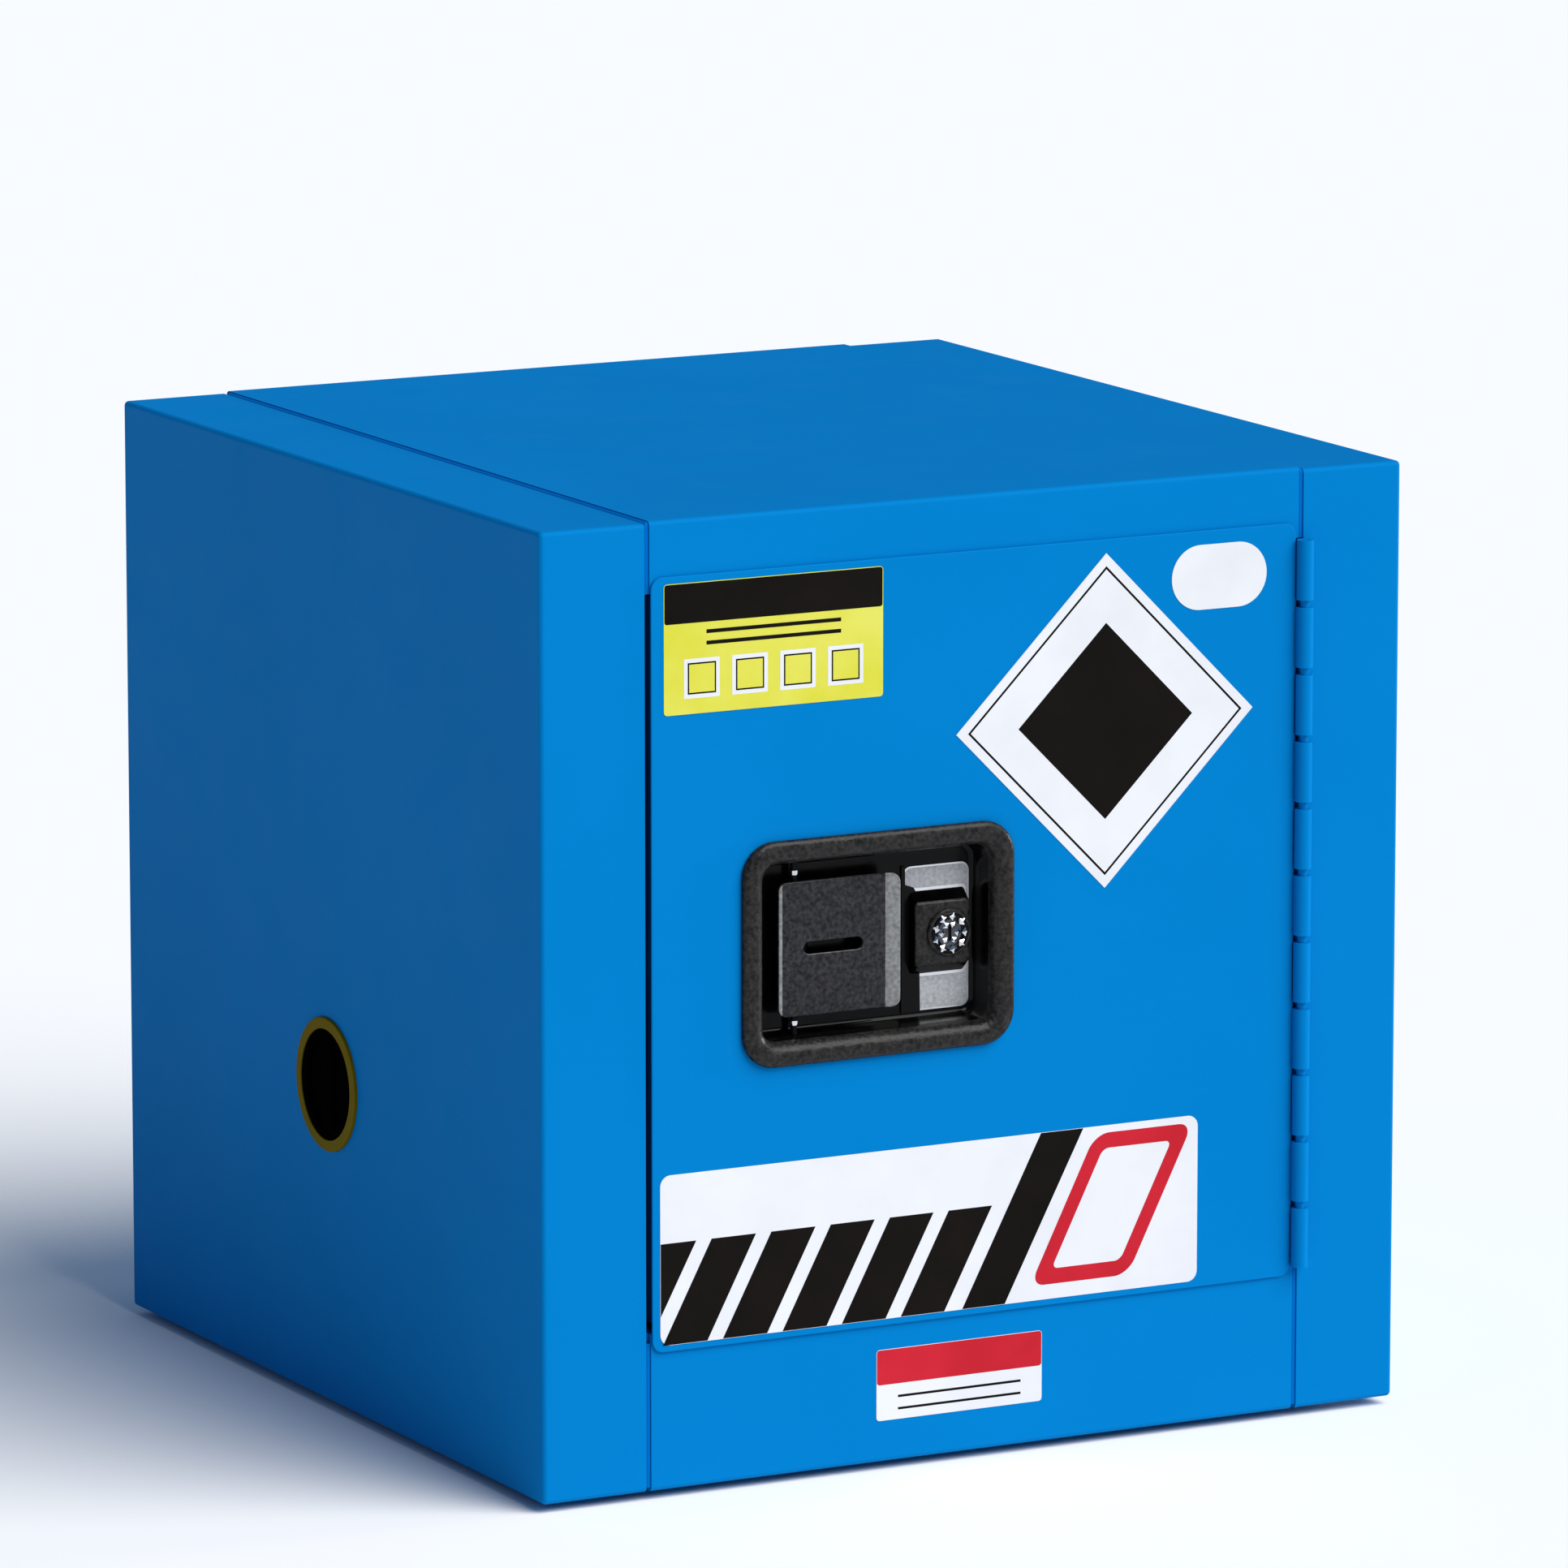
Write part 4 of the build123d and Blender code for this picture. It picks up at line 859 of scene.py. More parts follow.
@dataclass(frozen=True)
class Thread(NodeTool):
    """Screw thread: a ridge that winds along Y round a stud."""

    name: str = "screw_thread"
    sockets: tuple[tuple[str, str], ...] = (
        ("Pitch", "NodeSocketFloat"),
        ("Length", "NodeSocketFloat"),
        ("Radius", "NodeSocketFloat"),
        ("Ridge", "NodeSocketFloat"),
        ("Start", "NodeSocketVector"),
    )

    def shape(
        self, tree: bpy.types.NodeTree, given: bpy.types.NodeOutputs
    ) -> bpy.types.NodeSocket:
        """Runs a small square section along a coil and lays the coil along Y.

        Args:
            tree: the tree.
            given: its inputs: pitch, length, radius of the coil, radius of the ridge's own
                section, and where the axis starts.

        Returns:
            The socket of the ridge.
        """
        turns = add(
            tree,
            "ShaderNodeMath",
            {"operation": "DIVIDE"},
            {0: given["Length"], 1: given["Pitch"]},
        )
        coil = add(
            tree,
            "GeometryNodeCurveSpiral",
            inputs={
                "Resolution": 28,
                "Rotations": turns.outputs[0],
                "Start Radius": given["Radius"],
                "End Radius": given["Radius"],
                "Height": given["Length"],
            },
        )
        section = add(
            tree,
            "GeometryNodeCurvePrimitiveCircle",
            inputs={"Resolution": 4, "Radius": given["Ridge"]},
        )
        ridge = add(
            tree,
            "GeometryNodeCurveToMesh",
            inputs={
                "Curve": coil.outputs[0],
                "Profile Curve": section.outputs[0],
                "Fill Caps": True,
            },
        )
        laid = add(
            tree,
            "GeometryNodeTransform",
            inputs={
                "Geometry": ridge.outputs[0],
                "Translation": given["Start"],
                "Rotation": (-math.pi / 2, 0.0, 0.0),
            },
        )
        return laid.outputs[0]


@dataclass(frozen=True)
class FacetRing(NodeTool):
    """Cut facets round a turned lock face, each one a flat pyramid."""

    name: str = "facet_ring"
    sockets: tuple[tuple[str, str], ...] = (
        ("Count", "NodeSocketInt"),
        ("Radius", "NodeSocketFloat"),
        ("Facet", "NodeSocketVector"),
        ("Middle", "NodeSocketVector"),
    )

    def shape(
        self, tree: bpy.types.NodeTree, given: bpy.types.NodeOutputs
    ) -> bpy.types.NodeSocket:
        """Sets a pyramid on each point of a circle and turns the circle to the front.

        Args:
            tree: the tree.
            given: its inputs: count, radius of the circle, half size of a facet along it,
                across it and out of it, and the circle's middle.

        Returns:
            The socket of the facets.
        """
        circle = add(
            tree,
            "GeometryNodeMeshCircle",
            inputs={"Vertices": given["Count"], "Radius": given["Radius"]},
        )
        place = add(tree, "GeometryNodeInputPosition")
        turned = add(
            tree,
            "FunctionNodeAlignRotationToVector",
            {"axis": "X"},
            {"Vector": place.outputs[0]},
        )
        cone = add(
            tree,
            "GeometryNodeMeshCone",
            inputs={"Vertices": 4, "Radius Top": 0.25, "Radius Bottom": 1.0, "Depth": 1.0},
        )
        facets = add(
            tree,
            "GeometryNodeInstanceOnPoints",
            inputs={
                "Points": circle.outputs[0],
                "Instance": cone.outputs["Mesh"],
                "Rotation": turned.outputs[0],
                "Scale": given["Facet"],
            },
        )
        laid = add(
            tree,
            "GeometryNodeTransform",
            inputs={
                "Geometry": facets.outputs[0],
                "Translation": given["Middle"],
                "Rotation": (math.pi / 2, 0.0, 0.0),
            },
        )
        return laid.outputs[0]


@dataclass
class Workshop:
    """What every sub-assembly needs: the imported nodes, and a note of what was made."""

    nodes: dict[str, bpy.types.Object]
    made: list[str] = field(default_factory=list)

    def dress(self, finish: Finish, *names: str) -> None:
        """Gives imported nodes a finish.

        Args:
            finish: the finish.
            names: the nodes.
        """
        for name in names:
            materials = self.nodes[name].data.materials
            materials.clear()
            materials.append(finish.material())

    def keep(self, piece: bpy.types.Object, body: Body, slot: Slot, *replaced: str) -> None:
        """Sets a piece on its body and reports it.

        Args:
            piece: the piece.
            body: the body that it rides on.
            slot: the record's slot for its finish; not used.
            replaced: the nodes that it stands for.
        """
        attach(piece, body.value)
        if replaced:
            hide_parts(*replaced)
        self.made.append(piece.name)
        LOG.info("piece %s: %d faces", piece.name, len(piece.data.polygons))

    def softened(self, node: str, name: str, finish: Finish, width: float) -> bpy.types.Object:
        """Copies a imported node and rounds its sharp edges.

        Args:
            node: the node.
            name: name of the new piece.
            finish: its finish.
            width: width of the rounded edges.

        Returns:
            The piece, smooth between its edges.
        """
        copy = copied(self.nodes[node], name + "_maker", finish)
        shape = bmesh.new()
        shape.from_mesh(copy.data)
        bmesh.ops.remove_doubles(shape, verts=shape.verts, dist=1e-6)
        bmesh.ops.dissolve_limit(
            shape, angle_limit=math.radians(1), verts=shape.verts, edges=shape.edges
        )
        shape.to_mesh(copy.data)
        shape.free()
        bevel = copy.modifiers.new("edges", "BEVEL")
        bevel.width = width * MM
        bevel.segments = 2
        bevel.limit_method = "ANGLE"
        bevel.angle_limit = math.radians(40)
        piece = baked(copy, name)
        smooth(piece, 20)
        return piece


@dataclass
class Carcass:
    """Double-walled body: bent outer sheets, inner walls, vents, hinge leaf, stud and feet."""

    shop: Workshop
    front: float = -219.075
    side_top: float = 433.0
    top_step: float = 1.0
    rivets: int = 9
    first_rivet: Point = (163.3, -210.5, 88.8)
    rivet_pitch: float = 37.4125
    rivet_head: Point = (0.6, 2.2, 2.2)
    thread_start: Point = (120.1, 219.125, 108.8)
    thread_length: float = 7.1
    thread_pitch: float = 1.25
    thread_radius: float = 3.75
    thread_ridge: float = 0.42
    seam: float = 163.3
    seam_half: float = 1.19
    seam_end: float = 206.075
    over_door: float = 402.2
    under_door: Spot = (6.0, 70.6)
    bead_low: float = 0.4
    bead_low_top: float = 0.1
    bead_thick: float = 1.4
    bead_edge: float = 0.35
    bead_crown: float = 0.08
    bead_bend: float = 1.6
    bend_parts: int = 6

    def build(self) -> None:
        """Dresses the body's nodes and adds its small pieces."""
        dress = self.shop.dress
        dress(BLUE_COAT, "left_side_shell", "right_side_shell", "top_shell", "base_shell")
        dress(BLUE_COAT, "back_shell", "hinge_frame_leaf", "hinge_pin")
        dress(INNER_BLUE_COAT, "left_liner", "right_liner", "back_liner", "ceiling_liner")
        dress(INNER_BLUE_COAT, "sump_tray")
        dress(ZINC_SHEET, "side_spacers", "back_spacers", "top_spacers", "base_spacers")
        dress(ZINC_SHEET, "shelf_rails", "shelf_clips", "shelf")
        dress(ZINC_PLATE, "strike_plate", "strike_screws", "foot_screws")
        dress(ZINC_PLATE, "left_flame_screen", "right_flame_screen")
        dress(VENT_PAINT, "left_vent_ring", "right_vent_ring")
        dress(BUNG_PLASTIC, "left_bung", "right_bung")
        dress(BRASS, "ground_stud", "ground_nuts")
        dress(RUBBER, "rubber_feet")
        self.leaf_rivets()
        self.stud_thread()
        self.seam_beads()

    def seam_beads(self) -> None:
        """Lays the sealer in the two seams, over the front rails and along the top, in a deeper
        blue that is painted shade.
        """
        bend = self.bead_bend
        y, z = self.front + self.bead_low, self.side_top - self.bead_low_top
        over = [((y, self.over_door), (-1.0, 0.0))]
        for part in range(self.bend_parts + 1):
            turn = math.pi / 2 * part / self.bend_parts
            out = (-math.cos(turn), math.sin(turn))
            over.append(((y + bend + bend * out[0], z - bend + bend * out[1]), out))
        over.append(((self.seam_end, z), (0.0, 1.0)))
        under = [((y, height), (-1.0, 0.0)) for height in self.under_door]
        beads = [self.bead(side, path) for side in (-1, 1) for path in (over, under)]
        self.shop.keep(joined("seam_sealer", beads), Body.CABINET, Slot.BLUE)

    def bead(self, side: int, path: Sequence[tuple[Spot, Spot]]) -> bpy.types.Object:
        """Makes one bead of sealer, which on top slopes up to the higher middle panel.

        Args:
            side: -1 for the left seam, 1 for the right one.
            path: point in Y and Z and the way out of the seam, for each station.

        Returns:
            The bead, smooth along its length.
        """
        half, slope = self.seam_half, self.top_step / (2 * self.seam_half)
        crown = ((half, self.bead_edge), (half / 2, self.bead_crown))
        section = [(-half, self.bead_thick), *((-across, deep) for across, deep in crown)]
        section += [(0.0, 0.0), *reversed(crown), (half, self.bead_thick)]
        vertices = [
            (
                side * self.seam + across,
                y - deep * out_y,
                z + (slope * (half - side * across) - deep) * out_z,
            )
            for (y, z), (out_y, out_z) in path
            for across, deep in section
        ]
        count, stations = len(section), len(path)
        ends = [[*range(count)], [*range(count * (stations - 1), count * stations)]]
        # The bead's deeper blue is painted shade of the groove
        bead = piece_from("bead", vertices, ends + walls(stations, count), SEALER_PAINTED_SHADE)
        smooth(bead, 50)
        return bead

    def leaf_rivets(self) -> None:
        """Rivets the hinge's leaf to the post."""
        step = (0.0, 0.0, self.rivet_pitch)
        row = RivetRow().make(
            "frame_leaf_rivets", BLUE_COAT, self.rivets, self.first_rivet, step, self.rivet_head
        )
        self.shop.keep(row, Body.CABINET, Slot.BLUE)

    def stud_thread(self) -> None:
        """Winds a thread round the free end of the ground stud."""
        thread = Thread().make(
            "ground_stud_thread",
            BRASS,
            self.thread_pitch,
            self.thread_length,
            self.thread_radius,
            self.thread_ridge,
            self.thread_start,
        )
        self.shop.keep(thread, Body.CABINET, Slot.BRASS)


@dataclass
class Door:
    """Hinged door: overlay skin with softened edges, inner pan and its hinge leaf."""

    shop: Workshop
    edge: float = 0.45
    rivets: int = 8
    first_rivet: Point = (161.2, -210.5, 106.0)
    rivet_pitch: float = 37.0
    rivet_head: Point = (0.6, 2.2, 2.2)

    def build(self) -> None:
        """Dresses the door's nodes and adds its small pieces."""
        self.shop.dress(BLUE_COAT, "hinge_door_leaf")
        self.shop.dress(INNER_BLUE_COAT, "door_pan", "door_stiffener")
        skin = self.shop.softened("door_skin", "door_skin_rounded", BLUE_COAT, self.edge)
        self.shop.keep(skin, Body.DOOR, Slot.BLUE, "door_skin")
        step = (0.0, 0.0, self.rivet_pitch)
        row = RivetRow().make(
            "door_leaf_rivets", BLUE_COAT, self.rivets, self.first_rivet, step, self.rivet_head
        )
        self.shop.keep(row, Body.DOOR, Slot.BLUE)


@dataclass
class PaddleLatch:
    """Recessed paddle latch: pillow rim, drawn recess, lock block, paddle and lock face.

    The rim's profile gives the inset from the latch's outline and Y, from the foot inwards.
    The block's rings each give the inset in X and in Z, Y and the radius of their corners. Facets
    are given by their count, the radius of their circle and the half sizes of one.
    """

    shop: Workshop
    middle: Spot = (-51.1, 238.6)
    size: Spot = (134.9, 100.5)
    corner: float = 15.5
    recess_corner: float = 7.0
    recess_inset: float = 10.8
    pan_wall: float = 1.5
    floor_y: float = -206.575
    back_y: float = -205.075
    rim_profile: tuple[Spot, ...] = (
        (0.0, -221.375),
        (0.0, -222.3),
        (0.3, -223.1),
        (1.0, -223.8),
        (2.1, -224.2),
        (3.8, -224.36),
        (5.4, -224.375),
        (6.8, -224.15),
        (8.1, -223.55),
        (9.2, -222.6),
        (10.0, -221.4),
        (10.5, -220.0),
        (10.8, -218.4),
        (11.3, -214.0),
        (11.7, -209.6),
        (12.1, -207.7),
        (13.0, -206.8),
        (14.4, -206.575),
    )
    block_middle: Spot = (-14.3, 238.6)
    block_size: Spot = (28.4, 38.0)
    block_rings: tuple[tuple[float, float, float, float], ...] = (
        (0.0, 0.0, -206.575, 2.0),
        (0.5, 4.4, -212.175, 2.2),
        (0.8, 5.0, -212.825, 2.0),
        (1.4, 5.6, -213.075, 1.6),
    )
    finger_slot: tuple[Spot, ...] = (
        (-91.8, 235.3),
        (-78.3, 235.3),
        (-78.3, 241.9),
        (-91.8, 241.9),
    )
    paddle_edge: float = 0.5
    highlight_cuts: Spot = (-95.5, -44.4)
    slot_zone: tuple[float, float, float, float] = (-85.6, -54.6, 235.0, 242.2)
    pin: Spot = (-87.3, -210.575)
    collar_profile: tuple[Spot, ...] = (
        (1.5, -1.1),
        (1.95, -1.0),
        (2.05, 0.0),
        (1.95, 1.0),
        (1.5, 1.1),
    )
    collar_heights: Spot = (204.9, 272.0)
    plate_middle: Spot = (-14.5, 235.9)
    plate_size: Spot = (33.0, 65.0)
    plate_corner: float = 4.0
    plate_inner_size: Spot = (31.5, 63.5)
    plate_inner_corner: float = 3.4
    block_frame: Spot = (29.9, 39.8)
    block_frame_corner: float = 2.4
    layer_heights: tuple[float, ...] = (0.3, 0.42, 0.54, 0.9)
    painted_shadow_outline: tuple[Spot, ...] = (
        (-32.0, 202.9),
        (-22.6, 202.9),
        (-23.4, 255.0),
        (-26.0, 259.0),
        (-30.2, 260.5),
        (-30.2, 268.9),
        (-32.0, 268.9),
    )
    lock: Spot = (-11.6, 238.6)
    ring_y: float = -214.875
    ring_profile: tuple[Spot, ...] = (
        (9.1, 0.0),
        (9.1, 0.35),
        (8.7, 0.7),
        (8.0, 0.75),
        (6.6, 0.3),
        (6.15, 0.0),
    )
    ring_facets: tuple[int, float, Point] = (9, 7.5, (1.9, 2.3, 0.5))
    ring_facets_y: float = -215.425
    plug_facets: tuple[int, float, Point] = (6, 3.9, (1.5, 1.9, 0.5))
    plug_facets_y: float = -214.475
    spring_span: Spot = (-65.3, -33.06)
    bolt_way: float = 10.0

    def build(self) -> None:
        """Makes the latch and dresses its hidden nodes."""
        dress, keep = self.shop.dress, self.shop.keep
        dress(RUBBER, "latch_gasket")
        dress(ZINC_PLATE, "latch_frame", "latch_case", "latch_screws", "latch_bolt")
        dress(ZINC_PLATE, "lock_nut", "lock_cam")
        dress(SPRING_WIRE, "paddle_spring")
        dress(BLACK_OXIDE, "paddle_pin")
        dress(PLUG_NICKEL, "key_plug")
        dress(LATCH_COAT, "lock_cylinder")
        keep(self.bezel(), Body.DOOR, Slot.BLACK_COAT, "latch_bezel")
        keep(self.paddle(), Body.PADDLE, Slot.BLACK_COAT, "paddle")
        keep(self.floor_plate(), Body.DOOR, Slot.BLACK_COAT)
        keep(self.pin_collars(), Body.DOOR, Slot.CHROME)
        self.lock_face()
        self.spring()

    def bezel(self) -> bpy.types.Object:
        """Forms the rim and the recess, and closes its floor round the block and the slot.

        Returns:
            The bezel, with the near-black enamel of the recess, partly painted shade, in its
            second slot.
        """
        shape = bmesh.new()
        pan = self.recess_inset - self.pan_wall
        profile = ((pan, self.back_y), (pan, self.rim_profile[0][1]), *self.rim_profile)
        rings = [self.ring(shape, inset, y) for inset, y in profile]
        # The recess's walls and pan take the near-black enamel, partly painted shade
        self.skin(shape, rings, [inset >= self.recess_inset for inset, _ in profile])
        block = self.block(shape)
        front_slot, back_slot = (
            self.points(shape, self.finger_slot, y) for y in (self.floor_y, self.back_y)
        )
        self.skin(shape, (front_slot, back_slot), (False,))
        # The floor round the block and the slot takes the same enamel, partly painted shade
        self.close(shape, (rings[-1], block, front_slot))
        self.close(shape, (rings[0], back_slot))
        bmesh.ops.recalc_face_normals(shape, faces=shape.faces)
        materials = (LATCH_COAT.material(), LATCH_ENAMEL_AND_SHADE.material())
        made = formed("latch_bezel_formed", shape, materials)
        smooth(made, 50)
        return made

    def points(
        self, shape: bmesh.types.BMesh, outline: Outline, y: float
    ) -> list[bmesh.types.BMVert]:
        """Sets an outline in X and Z into an edit mesh, at depth y."""
        return [shape.verts.new(Vector((x, y, z)) * MM) for x, z in outline]

    def ring(
        self, shape: bmesh.types.BMesh, inset: float, y: float
    ) -> list[bmesh.types.BMVert]:
        """Sets the latch's outline into an edit mesh.

        Args:
            shape: the edit mesh.
            inset: how far the outline is moved inwards.
            y: its depth.

        Returns:
            Its points.
        """
        share = (self.corner - self.recess_corner) / self.recess_inset
        size = (self.size[0] - 2 * inset, self.size[1] - 2 * inset)
        outline = rounded(self.middle, size, max(self.corner - inset * share, 2.0))
        return self.points(shape, outline, y)

    def skin(
        self,
        shape: bmesh.types.BMesh,
        rings: Sequence[Sequence[bmesh.types.BMVert]],
        glossy: Sequence[bool],
    ) -> None:
        """Joins each ring with the next one by faces.

        Args:
            shape: the edit mesh.
            rings: rings that have as many points as each other.
            glossy: for each strip of faces, whether it takes the near-black enamel, which partly
                paints the recess's shade.
        """
        for low, high, gloss in zip(rings, rings[1:], glossy):
            for i, corner in enumerate(low):
                j = (i + 1) % len(low)
                face = shape.faces.new((corner, low[j], high[j], high[i]))
                face.material_index = int(gloss)

    def block(self, shape: bmesh.types.BMesh) -> list[bmesh.types.BMVert]:
        """Raises the lock's tapered block, whose sides take the near-black enamel as painted shade
        up to its crown.

        Args:
            shape: the edit mesh.

        Returns:
            The ring at its foot.
        """
        rings = []
        for inset_x, inset_z, y, radius in self.block_rings:
            size = (self.block_size[0] - 2 * inset_x, self.block_size[1] - 2 * inset_z)
            rings.append(self.points(shape, rounded(self.block_middle, size, radius), y))
        self.skin(shape, rings, (True, False, False))
        shape.faces.new(rings[-1])
        return rings[0]

    def close(
        self, shape: bmesh.types.BMesh, loops: Sequence[Sequence[bmesh.types.BMVert]]
    ) -> None:
        """Fills the flat face between an outer loop and the loops inside it, in the near-black
        enamel that partly paints the recess's shade.

        Args:
            shape: the edit mesh.
            loops: the outer loop, then the inner ones.
        """
        edges = []
        for loop in loops:
            for i, corner in enumerate(loop):
                other = loop[(i + 1) % len(loop)]
                edges.append(shape.edges.get((corner, other)) or shape.edges.new((corner, other)))
        filled = bmesh.ops.triangle_fill(shape, use_beauty=True, edges=edges)
        for face in filled["geom"]:
            if isinstance(face, bmesh.types.BMFace):
                face.material_index = 1

    def paddle(self) -> bpy.types.Object:
        """Softens the paddle and gives it a pale coat along the lip, the left edge and the slot as
        painted highlight.

        Returns:
            The paddle, with the pale painted-highlight coat in its second slot.
        """
        piece = self.shop.softened("paddle", "paddle_rounded", PADDLE_COAT, self.paddle_edge)
        piece.data.materials.append(PADDLE_HIGHLIGHT_COAT.material())
        shape = bmesh.new()
        shape.from_mesh(piece.data)
        for place in self.highlight_cuts:
            bmesh.ops.bisect_plane(
                shape,
                geom=[*shape.verts, *shape.edges, *shape.faces],
                plane_co=(place * MM, 0, 0),
                plane_no=(1, 0, 0),
            )
        left, right, low, high = self.slot_zone
        for face in shape.faces:
            middle, out = face.calc_center_median() / MM, face.normal
            # Front faces outside the two cuts get the painted highlight
            highlighted = out.y < -0.3 and not self.highlight_cuts[0] < middle.x < self.highlight_cuts[1]
            # So does the slot's round edge where it looks right or up
            by_slot = left < middle.x < right and low < middle.z < high
            leaning = -0.9 < out.y < -0.2 and out.x + out.z > 0.2
            if highlighted or (by_slot and leaning):
                face.material_index = 1
        shape.to_mesh(piece.data)
        shape.free()
        smooth(piece, 20)
        return piece

    def floor_plate(self) -> bpy.types.Object:
        """Lays a grey plate right of the paddle as painted reflection, bright trims as painted
        highlight and a black step as painted shadow.

        Returns:
            The plate, with its layers in the order of their heights.
        """
        # Layers: a pale plate as painted reflection, bright trims as painted highlight, and a
        # black step as painted shadow
        layers = (
            (rounded(self.plate_middle, self.plate_size, self.plate_corner), LATCH_HIGHLIGHT_TRIM),
            (
                rounded(self.plate_middle, self.plate_inner_size, self.plate_inner_corner),
                LATCH_PAINTED_REFLECTION,
            ),
            (rounded(self.block_middle, self.block_frame, self.block_frame_corner), LATCH_HIGHLIGHT_TRIM),
            # The black step is painted shadow beside the paddle's lip and the block
            (self.painted_shadow_outline, LATCH_ENAMEL_AND_SHADE),
        )
        plates = [
            plate("layer", outline, self.floor_y - height, height, finish)
            for (outline, finish), height in zip(layers, self.layer_heights)
        ]
        return joined("latch_floor_plate", plates)

    def pin_collars(self) -> bpy.types.Object:
        """Sets a bright collar on the paddle's pin above and below the paddle.

        Returns:
            Both collars.
        """
        collars = [
            lathed("collar", self.collar_profile, (*self.pin, z), Axis.UP, CHROME)
            for z in self.collar_heights
        ]
        return joined("paddle_pin_collars", collars)

    def lock_face(self) -> None:
        """Sets a black turned ring with bright facets round the plug, and facets on the plug."""
        x, z = self.lock
        middle = (x, self.ring_y, z)
        ring = lathed(
            "lock_face_ring", self.ring_profile, middle, Axis.OUT_OF_DOOR, LATCH_ENAMEL_AND_SHADE
        )
        self.shop.keep(ring, Body.DOOR, Slot.BLACK_COAT)
        for name, facets, y, body in (
            ("lock_face_facets", self.ring_facets, self.ring_facets_y, Body.DOOR),
            ("key_plug_facets", self.plug_facets, self.plug_facets_y, Body.KEY_PLUG),
        ):
            piece = FacetRing().make(name, CHROME, *facets, (x, y, z))
            self.shop.keep(piece, body, Slot.CHROME)

    def spring(self) -> None:
        """Copies the bolt's spring as a wire that rides on the door."""
        wire = copied(self.shop.nodes["bolt_spring"], "bolt_spring_wire", SPRING_WIRE)
        smooth(wire)
        self.shop.keep(wire, Body.DOOR, Slot.WIRE, "bolt_spring")
        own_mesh(wire)


@dataclass
class Labels:
    """Blank vinyl plates with plain printed stripes, bands, rules and frames."""

    shop: Workshop
    ink: float = 0.06
    door_face: float = -220.825
    rail_face: float = -219.325
    foot: float = 69.45
    stripes: int = 5
    stripe: Spot = (21.9, 45.45)
    stripe_start: float = -134.25
    stripe_pitch: float = 29.5
    stripe_lean: float = 24.0
    cut_corner: tuple[Spot, ...] = ((-158.25, 114.9), (-158.25, 82.2), (-140.75, 114.9))
    tall_stripe: Spot = (21.5, 75.7)
    tall_start: float = 22.3
    tall_lean: float = 39.6
    frame_middle: Spot = (67.5, 109.0)
    frame_outer: tuple[Spot, float] = ((50.0, 66.0), 7.0)
    frame_inner: tuple[Spot, float] = ((35.0, 52.0), 3.0)
    frame_lean: float = 0.5
    band_middle: Spot = (-102.35, 397.1)
    band_size: Spot = (106.9, 17.4)
    band_corner: float = 1.2
    rule_middle: Spot = (-102.35, 384.2)
    rule: Spot = (66.0, 1.7)
    rule_pitch: float = 5.0
    tiles: int = 4
    tile_start: Spot = (-137.6, 364.0)
    tile_pitch: float = 23.5
    tile_layers: tuple[tuple[float, Finish], ...] = (
        (17.4, WHITE_FILM),
        (13.8, BLACK_INK),
        (12.4, YELLOW_FILM),
    )
    diamond_middle: Spot = (63.1, 328.0)
    diamond_line: Spot = (69.3, 67.9)
    diamond_core: float = 44.0
    head_middle: Spot = (-8.7, 46.9)
    head_size: Spot = (83.1, 15.8)
    head_corner: float = 1.4
    fine_rule_middle: Spot = (-8.7, 33.2)
    fine_rule: Spot = (62.0, 1.1)
    fine_rule_pitch: float = 5.6

    def build(self) -> None:
        """Dresses the plates and prints them."""
        self.shop.dress(WHITE_FILM, "stripe_label", "diamond_label", "oval_label", "rail_label")
        self.shop.dress(YELLOW_FILM, "yellow_label")
        for name, prints, body, slot in (
            ("stripe_print", self.stripe_plate(), Body.DOOR, Slot.WHITE_FILM),
            ("yellow_plate_print", self.yellow_plate(), Body.DOOR, Slot.YELLOW_FILM),
            ("diamond_print", self.diamond_plate(), Body.DOOR, Slot.WHITE_FILM),
            ("rail_print", self.rail_plate(), Body.CABINET, Slot.WHITE_FILM),
        ):
            self.shop.keep(joined(name, prints), body, slot)

    def bars(
        self, count: int, first: Point, pitch: Spot, bar: Spot, finish: Finish, lean: float = 0.0
    ) -> bpy.types.Object:
        """Prints a row of bars.

        Args:
            count: number of bars.
            first: middle of the first one.
            pitch: way to the next one, in X and Z.
            bar: width and height of a bar.
            finish: its ink.
            lean: how far the top stands right of the foot.

        Returns:
            The bars.
        """
        step, size = (pitch[0], 0.0, pitch[1]), (bar[0], self.ink, bar[1])
        return BarRow().make("bars", finish, count, first, step, size, lean)

    def patch(self, outline: Outline, face: float, finish: Finish) -> bpy.types.Object:
        """Prints one flat patch that stands half its ink out of the face at Y."""
        return plate("patch", outline, face - self.ink / 2, self.ink, finish)

    def stripe_plate(self) -> list[bpy.types.Object]:
        """Prints leaning bars at the wide plate's foot, a taller one, and a leaning red frame.

        Returns:
            The prints.
        """
        y, pitch = self.door_face, (self.stripe_pitch, 0.0)
        bars = [
            self.bars(count, (x, y, self.foot + bar[1] / 2), pitch, bar, BLACK_INK, lean)
            for count, x, bar, lean in (
                (self.stripes, self.stripe_start, self.stripe, self.stripe_lean),
                (1, self.tall_start, self.tall_stripe, self.tall_lean),
            )
        ]
        outer, inner = (
            [
                (x + self.frame_lean * (z - self.frame_middle[1]), z)
                for x, z in rounded(self.frame_middle, size, radius)
            ]
            for size, radius in (self.frame_outer, self.frame_inner)
        )
        frame = frame_plate("frame", outer, inner, y - self.ink / 2, self.ink, RED_INK)
        return [bars[0], self.patch(self.cut_corner, y, BLACK_INK), bars[1], frame]

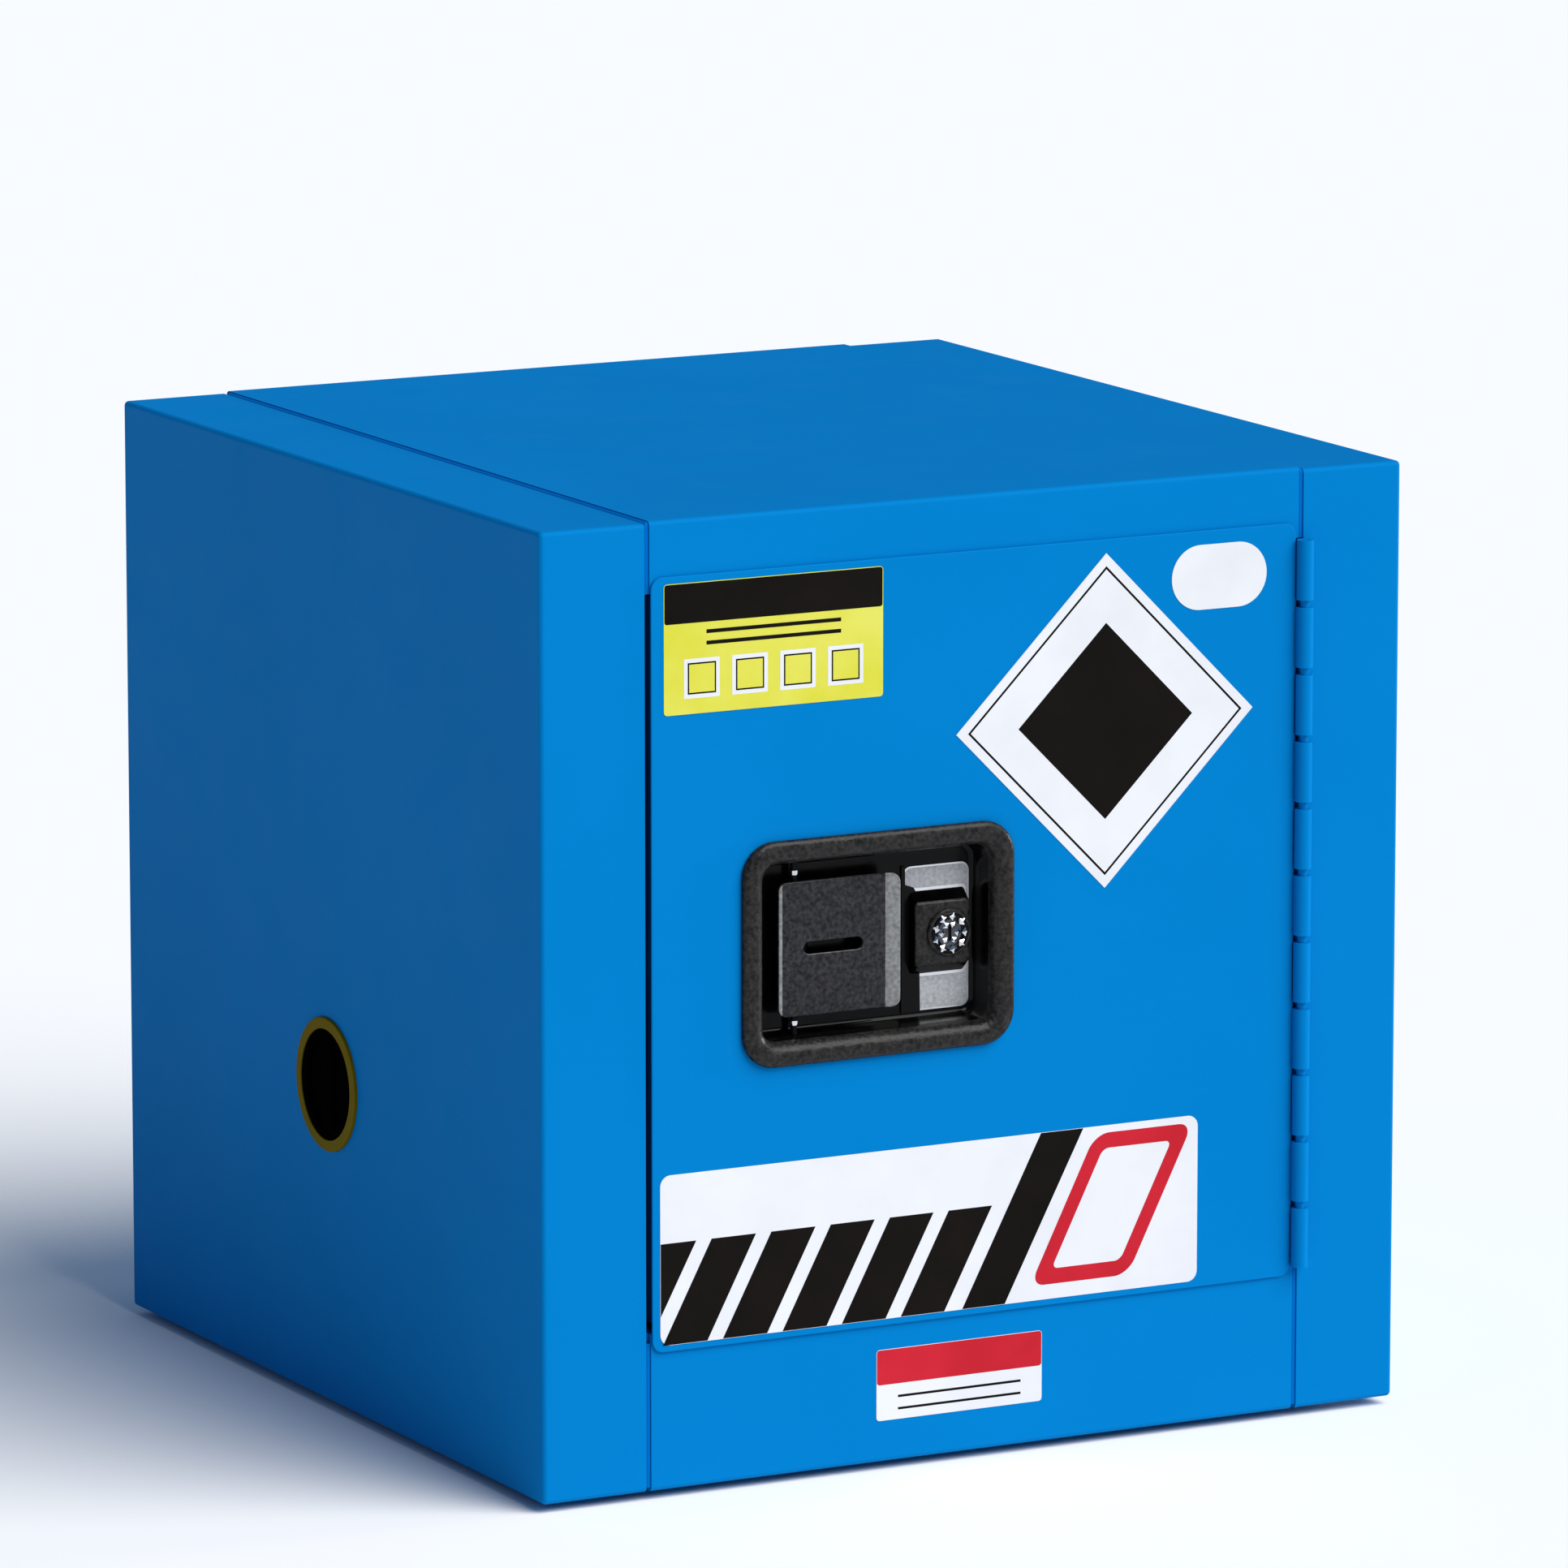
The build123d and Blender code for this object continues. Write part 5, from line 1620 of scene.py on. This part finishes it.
    def yellow_plate(self) -> list[bpy.types.Object]:
        """Prints a dark band, two rules and four empty tiles with a white edge.

        Returns:
            The prints.
        """
        y = self.door_face
        x, z = self.rule_middle
        outline = rounded(self.band_middle, self.band_size, self.band_corner)
        band = self.patch(outline, y, BLACK_INK)
        rules = self.bars(2, (x, y, z), (0.0, -self.rule_pitch), self.rule, BLACK_INK)
        x, z = self.tile_start
        tiles = [
            self.bars(
                self.tiles,
                (x, y - self.ink / 2 * number, z),
                (self.tile_pitch, 0.0),
                (side, side),
                finish,
            )
            for number, (side, finish) in enumerate(self.tile_layers)
        ]
        return [band, rules, *tiles]

    def corners(self, reach: float) -> list[Spot]:
        """Corners of a diamond of that reach, on the middle of the square plate."""
        x, z = self.diamond_middle
        return [(x + reach, z), (x, z + reach), (x - reach, z), (x, z - reach)]

    def diamond_plate(self) -> list[bpy.types.Object]:
        """Prints a thin line inside the edge and a plain dark diamond in the middle.

        Returns:
            The prints.
        """
        outer, inner = (self.corners(reach) for reach in self.diamond_line)
        y = self.door_face - self.ink / 2
        line = frame_plate("line", outer, inner, y, self.ink, BLACK_INK)
        return [line, self.patch(self.corners(self.diamond_core), self.door_face, BLACK_INK)]

    def rail_plate(self) -> list[bpy.types.Object]:
        """Prints a red head and two thin rules on the small plate.

        Returns:
            The prints.
        """
        y = self.rail_face
        x, z = self.fine_rule_middle
        outline = rounded(self.head_middle, self.head_size, self.head_corner)
        pitch = (0.0, -self.fine_rule_pitch)
        rules = self.bars(2, (x, y, z), pitch, self.fine_rule, BLACK_INK)
        return [self.patch(outline, y, RED_INK), rules]


@dataclass
class Studio:
    """Pale floor, soft light and the camera at the photo's angle."""

    azimuth: float = -27.845
    elevation: float = 10.582
    place: Point = (-2280.2, -4352.9, 1186.8)
    lens: float = 250.98
    floor_half: float = 30000.0
    sky: float = 0.25
    sky_tint: Point = (0.36, 0.6, 1.0)
    key: float = 3.6
    key_from: Point = (0.42, -0.68, 0.82)
    key_tint: Point = (1.0, 0.985, 0.945)
    key_angle: float = 52.0
    edge: float = 1.1
    edge_from: Point = (0.98, -0.07, 0.1)
    edge_tint: Point = (1.0, 1.0, 1.0)
    edge_angle: float = 10.0

    def build(self) -> None:
        """Makes the floor, the light and the camera."""
        half = self.floor_half
        corners = [(-half, -half, 0.0), (half, -half, 0.0), (half, half, 0.0), (-half, half, 0.0)]
        piece_from("floor", corners, [[0, 1, 2, 3]], FLOOR_PAPER)
        self.light()
        self.camera()

    def light(self) -> None:
        """Even sky, one very soft lamp from the front right and a weak one along the door."""
        world = bpy.data.worlds.new("studio_sky")
        bpy.context.scene.world = world
        world.use_nodes = True
        sky = next(n for n in world.node_tree.nodes if n.type == "BACKGROUND")
        sky.inputs["Color"].default_value = (*self.sky_tint, 1.0)
        sky.inputs["Strength"].default_value = self.sky
        self.lamp("soft_key", self.key, self.key_tint, self.key_from, self.key_angle)
        self.lamp("edge_light", self.edge, self.edge_tint, self.edge_from, self.edge_angle)

    def lamp(self, name: str, power: float, tint: Point, source: Point, angle: float) -> None:
        """Adds a lamp that shines alike everywhere.

        Args:
            name: name of the lamp.
            power: its strength.
            tint: its linear colour.
            source: the way to it.
            angle: how wide it looks, in degrees.
        """
        data = bpy.data.lights.new(name, "SUN")
        data.energy = power
        data.color = tint
        data.angle = math.radians(angle)
        lamp = placed(name, data)
        lamp.rotation_mode = "QUATERNION"
        lamp.rotation_quaternion = (-Vector(source)).to_track_quat("-Z", "Y")

    def camera(self) -> None:
        """Sets the camera on the photo's line of sight."""
        turn, rise = math.radians(self.azimuth), math.radians(self.elevation)
        side, front = math.sin(turn) * math.cos(rise), -math.cos(turn) * math.cos(rise)
        data = bpy.data.cameras.new("camera")
        data.sensor_fit = "HORIZONTAL"
        data.sensor_width = 36.0
        data.lens = self.lens
        data.clip_end = 200.0
        eye = placed("camera", data)
        eye.location = Vector(self.place) * MM
        eye.rotation_mode = "QUATERNION"
        eye.rotation_quaternion = (-Vector((side, front, math.sin(rise)))).to_track_quat("-Z", "Y")
        bpy.context.scene.camera = eye


def main() -> None:
    """Builds the studio and each sub-assembly."""
    logging.basicConfig(level=logging.INFO, format="%(name)s: %(message)s")
    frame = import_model()
    bpy.context.scene.view_settings.view_transform = "Standard"
    shop = Workshop(frame["nodes"])
    Studio().build()
    for assembly in (Carcass(shop), Door(shop), PaddleLatch(shop), Labels(shop)):
        assembly.build()
        LOG.info("built %s", type(assembly).__name__)
    LOG.info("%d pieces made", len(shop.made))


if __name__ == "__main__":
    main()
